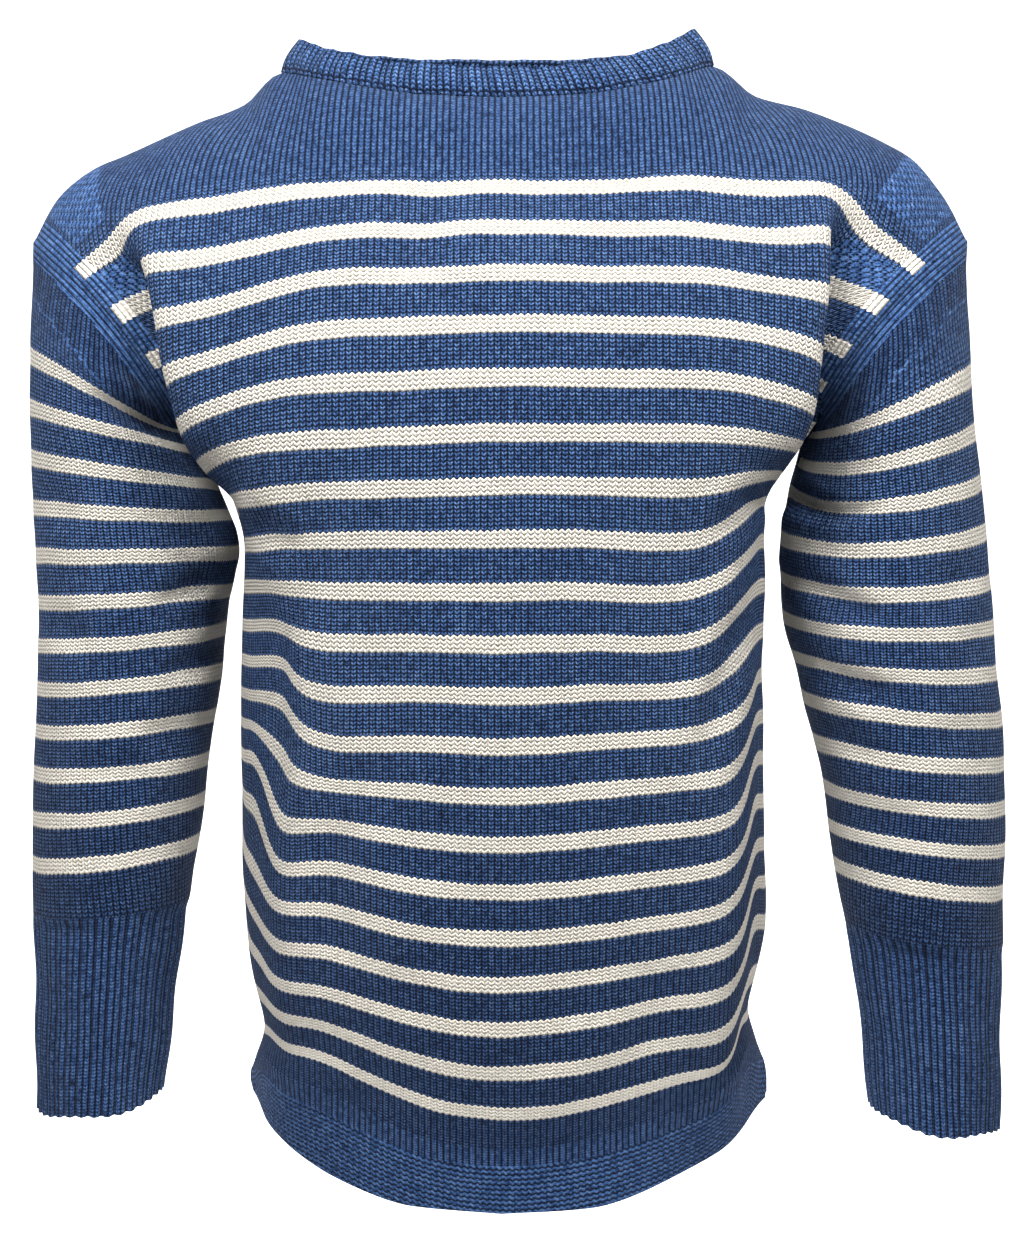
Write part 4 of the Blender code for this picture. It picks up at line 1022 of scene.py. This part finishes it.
def noise(tree, scale, detail=2.0, rough=0.5, stretch=(1, 1, 1)):
    place = tree.nodes.new("ShaderNodeTexCoord")
    size = tree.nodes.new("ShaderNodeMapping")
    size.inputs["Scale"].default_value = stretch
    tree.links.new(place.outputs["Object"], size.inputs[0])
    made = tree.nodes.new("ShaderNodeTexNoise")
    made.inputs["Scale"].default_value = scale
    made.inputs["Detail"].default_value = detail
    made.inputs["Roughness"].default_value = rough
    tree.links.new(size.outputs[0], made.inputs["Vector"])
    return Sum(made.outputs[0])


def white(tree, x, y):
    join = tree.nodes.new("ShaderNodeCombineXYZ")
    tree.links.new(x.socket, join.inputs[0])
    tree.links.new(y.socket, join.inputs[1])
    made = tree.nodes.new("ShaderNodeTexWhiteNoise")
    made.noise_dimensions = "2D"
    tree.links.new(join.outputs[0], made.inputs["Vector"])
    return Sum(made.outputs["Value"])


def mixed(tree, a, b, share):
    made = tree.nodes.new("ShaderNodeMix")
    made.data_type = "RGBA"
    for slot, value in ((made.inputs["A"], a), (made.inputs["B"], b)):
        if isinstance(value, tuple):
            slot.default_value = (*value, 1)
        else:
            tree.links.new(value, slot)
    tree.links.new(share.socket, made.inputs["Factor"])
    return made.outputs["Result"]


DEEP = (0.0012, 0.0050, 0.0200)  # blue in the shade of the stitches
MID = (0.070, 0.176, 0.470)
LIGHT = (0.200, 0.370, 0.740)  # lighter fibres of the heather
CREAM = (0.905, 0.860, 0.775)
# cream in the painted shade of the stitches, and its darker fibres
CREAM_DEEP = (0.430, 0.350, 0.250)
RIB = 2.5  # stitches in one rib of the cuff: two raised ones and a narrow groove


def hump(x, power=0.6):
    """A rounded bump once in every whole step of x."""
    return (x.fract() * np.pi).sin().high(0.0001) ** power


def stocking(u, v, amp=0.52, split=0.34, ladder=0.60, slant=0.58):
    """Height of stocking stitch, 0 to 1: a V a stitch, deepest between the wales. v is in courses, down."""
    part = u.fract()
    peak = 1 - abs(part * 2 - 1)
    at = v - peak * amp
    gap = (part * np.pi).sin().high(0.0001) ** 0.85
    notch = (abs(part - 0.5) * 5.5).clamp()
    across = gap * (notch * split + (1 - split)) * 1.15
    leg = v - peak * slant  # the legs slope more than the colour's edge
    return across * (hump(leg, 0.9) * ladder + (1 - ladder)), at


def courses_of(row):
    """Courses from rows; the cream courses stand a little taller than the blue."""
    whole = (row + 0.5).floor()
    part = row - whole
    size = abs(part)
    count = size.low(STRIPE) * (2 / STRIPE) + (size - STRIPE).high(0) * (4 / (0.5 - STRIPE))
    sign = part.over(0) * 2 - 1
    return whole * COURSES + sign * count


def wool(name, kind, stripes=0):
    """A wool material. kind: stocking, rib, band or welt."""
    material = bpy.data.materials.new(name)
    material.use_nodes = True
    tree = Sum.tree = material.node_tree
    shader = tree.nodes["Principled BSDF"]
    u, row = chart(tree, "knit")
    zone_a, zone_b = chart(tree, "zone")
    fuzz = noise(tree, 900, 1.5, 0.65)
    tuft = noise(tree, 300, 0, 0.5)
    cloud = noise(tree, 14, 0, 0.5)
    wander = (noise(tree, 60, 0, 0.5) - 0.5) * 0.45
    if kind == "stocking":
        v = courses_of(row) + wander
        lower = row.ramp(0.45, 0.85)  # the plain yoke is knitted closer than the stripes
        knit, at = stocking(u + (tuft - 0.5) * 0.12, v, split=lower * 0.30 + 0.24, ladder=lower * 0.40 + 0.48)
        # painted shade: the heights drop in the yoke and toward the lower end; this deepens the bump and paints more
        # shade between the stitches, so the blue comes out darker there
        knit = knit * (lower * 0.42 + 0.60 - row.ramp(stripes * 0.35 + 1, stripes + 1) * 0.34)
        # moss stitch where zone_a is 1: staggered small knots
        odd = ((u.floor() + v.floor()) * 0.5).fract().over(0.25)
        knot = hump(u + 0.5, 0.8) * hump(v + 0.5, 0.8)
        moss = 0.74 - knot * (odd * 0.55 + 0.05) - (1 - hump(u, 0.5)) * 0.25
        height = blend(knit, moss, zone_a.over(0.5) * zone_a.under(1.5))
        # the sleeve's ribbed top where zone_a is 2
        sunk = (u * 0.25).fract().over(0.5)
        height = height * (1 - zone_a.over(1.5) * sunk * 0.22)
        # raised wales beside the armhole; zone_b counts them from the edge
        cord = hump(zone_b, 0.55) * (hump(v * 0.9, 0.7) * 0.3 + 0.7)
        height = blend(height, cord * 0.72 + 0.03, zone_b.under(5) * zone_b.over(-0.5))
        bump_size = 0.0022
    elif kind == "rib":
        v = row + wander
        place = (u / RIB).fract() * RIB
        groove = place.over(2)
        knit, at = stocking(place, v)
        height = knit * (0.76 - groove * 0.34)
        bump_size = 0.0022
    elif kind == "band":
        v = row + wander * 1.5
        slant = u + v * 0.10
        knit, at = stocking(slant, v)
        furrow = hump(slant * 0.25, 0.35)
        height = knit * (furrow * 0.50 + 0.48)
        # picked-up stitches along its base
        jag = zone_b - hump(u * 0.5, 0.8) * 0.9
        height = height * (1 - jag.over(0.35) * jag.under(1.15) * 0.55)
        bump_size = 0.0026
    else:
        v = row + wander
        knit, at = stocking(u, v)
        lines = hump(u * 0.56 + (tuft - 0.5) * 0.3, 0.30)
        strip = knit * (lines * 0.45 + 0.55)
        wave = v * 0.5 + (u * 2 * np.pi).sin() * 0.15
        garter = hump(wave, 0.65) * (hump(u, 0.5) * 0.34 + 0.66)
        # painted shade: the welt's heights are scaled down, which paints deeper shade between its stitches, so its
        # blue comes out darker at the hem
        height = blend(garter * 0.64, strip * 0.74, zone_a)
        bump_size = 0.0020
    height = height.clamp()
    tone = white(tree, (u * 2).floor(), at.floor()) * 0.50 - 0.08
    tone = tone + (fuzz - 0.5) * 2.5 + (tuft - 0.5) * 1.3 + (cloud - 0.5) * 0.35 + 0.30
    blue = mixed(tree, MID, LIGHT, ((tone - 0.36) * 1.4).clamp() * 0.75)
    blue = mixed(tree, blue, DEEP, (0.46 - tone).clamp() * 0.9)
    pale = mixed(tree, CREAM, CREAM_DEEP, (0.46 - tone).clamp() * 0.30)
    shadow = ((1 - height) * 1.12).clamp() ** 0.9
    blue = mixed(tree, blue, DEEP, (shadow * 1.08).clamp())
    if stripes:
        index = at.floor()
        which = (index / COURSES + 0.5).floor()
        near = abs(index + 0.7 - which * COURSES)
        band = near.under(2.05) * which.over(0.5) * which.under(stripes + 0.5) * zone_b.over(2)
        pale = mixed(tree, pale, CREAM_DEEP, (shadow * 0.30).clamp())
        colour = mixed(tree, blue, pale, band)
    else:
        colour = blue
    tree.links.new(colour, shader.inputs["Base Color"])
    fibres = height + (fuzz - 0.5) * 0.5
    bump = tree.nodes.new("ShaderNodeBump")
    bump.inputs["Strength"].default_value = 1.0
    bump.inputs["Distance"].default_value = bump_size
    tree.links.new(fibres.socket, bump.inputs["Height"])
    tree.links.new(bump.outputs[0], shader.inputs["Normal"])
    rough = (fuzz * 0.15 + 0.82)
    tree.links.new(rough.socket, shader.inputs["Roughness"])
    shader.inputs["Specular IOR Level"].default_value = 0.14
    shader.inputs["Sheen Weight"].default_value = 0.06
    shader.inputs["Sheen Roughness"].default_value = 0.4
    shader.inputs["Sheen Tint"].default_value = (0.75, 0.84, 1.0, 1.0)
    return material


# ---------------------------------------------------------------- the pieces
def relief(grid, normal, lift):
    return grid + normal * lift[..., None]


def body_piece(face, name):
    across = mirrored(STATIONS)
    raw = body_panel(face, BODY_ROWS, across)
    base = Piece(name, raw, WALL, out=(0, face, 0))
    keep = clearance(raw, False, ("top", "bottom", "sides"))
    grid = creased(name, raw, base.normal, keep)
    middle = int(np.argmin(np.abs(across)))
    run = arcs(raw, 1)
    u = (run - run[:, middle : middle + 1]) / WALE + 200
    rows = np.array(BODY_ROWS)
    down = arcs(raw, 0)
    first = int(np.argmin(np.abs(rows - 1)))
    v = np.broadcast_to(rows[:, None], u.shape).copy()
    v[:first] = 1 - (down[first] - down[:first]) / YOKE_ROW
    edge_run = np.minimum(run, run[:, -1:] - run)
    s = np.abs(across)[None, :]
    # moss patch: between the shoulder join and the sleeve, and a little below stripe 1
    moss = soft((s - 3.75) / 0.06) * soft((edge_run - 0.017) / 0.001) * soft((0.62 - rows[:, None]) / 0.05) * soft((rows[:, None] + 0.95) / 0.05)
    moss = np.maximum(moss, soft((s - 3.9) / 0.06) * soft((edge_run - 0.012) / 0.001) * soft((1.9 - rows[:, None]) / 0.05) * soft((rows[:, None] - 1.25) / 0.05))
    cords = np.where(rows[:, None] < 4.4, edge_run / 0.0029, 9.0)
    return Piece(name, grid, WALL, out=(0, face, 0), gap=TOUCH), {
        "knit": open_chart(u, v),
        "zone": open_chart(moss, cords),
    }


def sleeve_piece(side, name):
    raw = sleeve_grid(side, SLEEVE_ROWS)
    base = Piece(name, raw, WALL, closed=True)
    keep = clearance(raw, True, ("top", "bottom"))
    grid = creased(name, raw, base.normal, keep)
    angles = sleeve_angles()
    half = int(np.argmin(np.abs(angles - 180)))
    u = arcs(raw, 1, closed=True) / WALE + 0.5
    u[:, 1:] = u[:, 1:]
    start = sleeve_top_row(signed(angles))
    v = start + np.array(SLEEVE_ROWS)[:, None] * (SLEEVE_END - start)
    down = arcs(raw, 0)
    rib = 2 * soft((0.030 - down) / 0.001)
    cords = np.where(down < 0.010, down / 0.0034 + 2, 9.0)
    a, b, c, d = tube_chart(u, v, half)
    shift = 400
    return Piece(name, grid, WALL, closed=True, gap=TOUCH), {
        "knit": (a + shift, b + shift, c, d),
        "zone": loop_chart(np.concatenate([rib, rib[:, :1]], 1), cords),
    }


def cuff_piece(side, name):
    raw = cuff_grid(side, CUFF_ROWS)
    base = Piece(name, raw, WALL, closed=True)
    run = arcs(raw, 1, closed=True)
    wales = 32 * RIB
    u = run / run[:, -1:] * wales
    down = arcs(raw, 0)
    shape = np.cos(2 * np.pi * (u[:, :-1] / RIB - 1 / RIB))
    top = soft(down / 0.008)
    lift = 0.0005 * (shape - 1) * top
    x, z = raw[..., 0], raw[..., 2]
    lift += 0.0012 * top * np.sin(x * 90 + z * 40) * np.sin(z * 55 + side)
    grid = relief(raw, base.normal, lift)
    end = soft((down / down[-1:] - 0.90) / 0.10)
    fall = grid[-1] - grid[-8]
    fall /= np.linalg.norm(fall, axis=1, keepdims=True)
    uneven = 0.0005 * shape + 0.0011 * np.sin(u[:, :-1] * 0.33 + side)
    grid = grid + fall * (end * uneven)[..., None]
    v = down / 0.0021
    zero = np.zeros_like(u)
    return Piece(name, grid, WALL, closed=True, gap=TOUCH), {
        "knit": loop_chart(u, v),
        "zone": loop_chart(zero, v * 0),
    }


def band_piece():
    raw = band_grid(BAND_ROWS)
    run = arcs(raw, 1, closed=True)
    wales = 160
    u = run / run[:, -1:] * wales
    down = arcs(raw, 0)
    v = down / 0.0024
    base = Piece("neckband", raw, BAND_WALL, closed=True)
    top = soft(down / down[-1:] * 2)
    turn = u[:, :-1] / wales * 2 * np.pi
    lift = (0.0007 * np.sin(turn * 40) + 0.0008 * np.sin(turn * 13 + 1) + 0.0007 * np.sin(turn * 7)) * top
    grid = relief(raw, base.normal, lift)
    zero = np.zeros_like(u)
    return Piece("neckband", grid, BAND_WALL, closed=True, gap=TOUCH), {
        "knit": loop_chart(u, v),
        "zone": loop_chart(zero, v),
    }


def welt_piece(face, name):
    raw = welt_grid(face, WELT_ROWS)
    base = Piece(name, raw, WELT_WALL, out=(0, face, 0))
    share = np.array(WELT_ROWS)[:, None]
    run = arcs(raw, 1)
    middle = raw.shape[1] // 2
    u = (run - run[:, middle : middle + 1]) / WALE + 200
    down = arcs(raw, 0)
    v = down / 0.00145
    keep = soft(down / 0.006)
    garter = soft((share - WELT_RIB) / 0.03)
    lift = -0.0003 * (1 - garter) * keep
    # the lower edge rolls and wanders a little
    lift += 0.0016 * keep * np.sin(u * 0.10 + face) * share
    grid = relief(raw, base.normal, lift)
    strip = 1 - garter + 0 * u
    return Piece(name, grid, WELT_WALL, out=(0, face, 0), gap=TOUCH), {
        "knit": open_chart(u, v),
        "zone": open_chart(strip, strip * 0),
    }


def small_piece(name, grid, out, gap):
    run, down = arcs(grid, 1), arcs(grid, 0)
    u, v = run / WALE + 50, down / YOKE_ROW + 1
    return Piece(name, grid, WALL, out=out, gap=gap), {
        "knit": open_chart(u, v),
        "zone": open_chart(u * 0, u * 0 + 9),
    }


def main():
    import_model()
    scene = bpy.context.scene
    collection = bpy.data.collections.new("knitwear")
    scene.collection.children.link(collection)

    plain = wool("blue_stocking", "stocking")
    striped = wool("striped_body", "stocking", BODY_STRIPES)
    armed = wool("striped_sleeve", "stocking", SLEEVE_STRIPES)
    ribbed = wool("blue_rib", "rib")
    banded = wool("blue_band", "band")
    welted = wool("blue_welt", "welt")

    made = [
        (*body_piece(-1, "body_front"), striped),
        (*body_piece(1, "body_back"), striped),
        (*band_piece(), banded),
        (*welt_piece(-1, "welt_front"), welted),
        (*welt_piece(1, "welt_back"), welted),
    ]
    for side, word in ((-1, "right"), (1, "left")):
        made += [
            (*sleeve_piece(side, "sleeve_" + word), armed),
            (*cuff_piece(side, "cuff_" + word), ribbed),
            (*small_piece("neck_gusset_" + word, neck_gusset_grid(side), (0, 0, 1), SEAM * 0.4), plain),
            (*small_piece("underarm_gusset_" + word, gusset_grid(side), (0, 0, -1), SEAM * 4.5), plain),
        ]
    share_seams([piece for piece, _, _ in made])
    for piece, charts, material in made:
        draw_back(piece)
        obj = mesh_of(piece, charts, material, collection)
        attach(obj, "root")
        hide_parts(piece.name)

    stage(scene)


def surface(name, colour, glow):
    material = bpy.data.materials.new(name)
    material.use_nodes = True
    shader = material.node_tree.nodes["Principled BSDF"]
    shader.inputs["Base Color"].default_value = (*colour, 1)
    shader.inputs["Roughness"].default_value = 0.9
    shader.inputs["Emission Color"].default_value = (1, 1, 1, 1)
    # the paper glows white everywhere to the camera; toward the garment it glows only behind it, not in front of it,
    # and so lights it from behind
    tree = Sum.tree = material.node_tree
    place = tree.nodes.new("ShaderNodeTexCoord")
    split = tree.nodes.new("ShaderNodeSeparateXYZ")
    tree.links.new(place.outputs["Object"], split.inputs[0])
    seen = Sum(tree.nodes.new("ShaderNodeLightPath").outputs["Is Camera Ray"])
    strength = Sum(split.outputs["Y"]).ramp(0.1, 0.6).high(seen) * glow
    tree.links.new(strength.socket, shader.inputs["Emission Strength"])
    return material


def stage(scene):
    """A pale floor that curves up into a pale wall, soft lights and the camera."""
    points, faces = [], []
    profile = [(-3.0, 0.0), (1.2, 0.0)]
    profile += [(1.2 + 0.8 * np.sin(a), 0.8 - 0.8 * np.cos(a)) for a in np.radians(range(10, 91, 10))]
    profile += [(2.0, 3.4)]
    for y, z in profile:
        points += [(-5, y, z + FLOOR), (5, y, z + FLOOR)]
    for k in range(len(profile) - 1):
        faces.append((2 * k, 2 * k + 1, 2 * k + 3, 2 * k + 2))
    mesh = bpy.data.meshes.new("floor")
    mesh.from_pydata([tuple(p) for p in points], [], faces)
    mesh.shade_smooth()
    floor = bpy.data.objects.new("floor", mesh)
    mesh.materials.append(surface("paper", (0.9, 0.9, 0.9), PAPER_GLOW))
    scene.collection.objects.link(floor)

    for name, place, aim, size, power, spread in LIGHTS:
        light = bpy.data.lights.new(name, "AREA")
        light.shape = "RECTANGLE"
        light.size, light.size_y = size
        light.energy = power
        light.spread = np.radians(spread)
        lamp = bpy.data.objects.new(name, light)
        lamp.location = place
        lamp.rotation_euler = (Vector(aim) - Vector(place)).to_track_quat("-Z", "Y").to_euler()
        scene.collection.objects.link(lamp)

    world = bpy.data.worlds.new("studio")
    world.use_nodes = True
    tree = Sum.tree = world.node_tree
    seen = Sum(tree.nodes.new("ShaderNodeLightPath").outputs["Is Camera Ray"])
    tree.nodes["Background"].inputs[0].default_value = (0.96, 0.98, 1.0, 1)
    tree.links.new((seen * (1 - WORLD) + WORLD).socket, tree.nodes["Background"].inputs[1])
    scene.world = world

    camera = bpy.data.cameras.new("camera")
    camera.sensor_fit = "VERTICAL"
    camera.sensor_height = 36
    camera.lens = 63.4
    view = bpy.data.objects.new("camera", camera)
    view.location = (0.00592, -1.30, -0.222)
    view.rotation_euler = (np.radians(90 - 3.83), 0, 0)
    scene.collection.objects.link(view)
    scene.camera = view
    scene.view_settings.view_transform = "Standard"
    scene.view_settings.look = "None"


FLOOR = -0.95
PAPER_GLOW = 0.95
WORLD = 0.10
LIGHTS = (
    # name, place, aimed at, size, watts, spread in degrees
    ("key", (-0.60, -1.05, 0.95), (0, 0, -0.17), (0.8, 0.8), 7.6, 66),
    ("fill", (0.70, -1.00, 0.85), (0, 0, -0.17), (0.8, 0.8), 5.7, 66),
    ("top", (0.0, -0.25, 1.3), (0, 0, 0), (1.2, 0.8), 1.0, 150),
    ("back", (0.0, 1.4, 1.2), (0, 0, -0.2), (1.6, 1.0), 7, 150),
)

main()
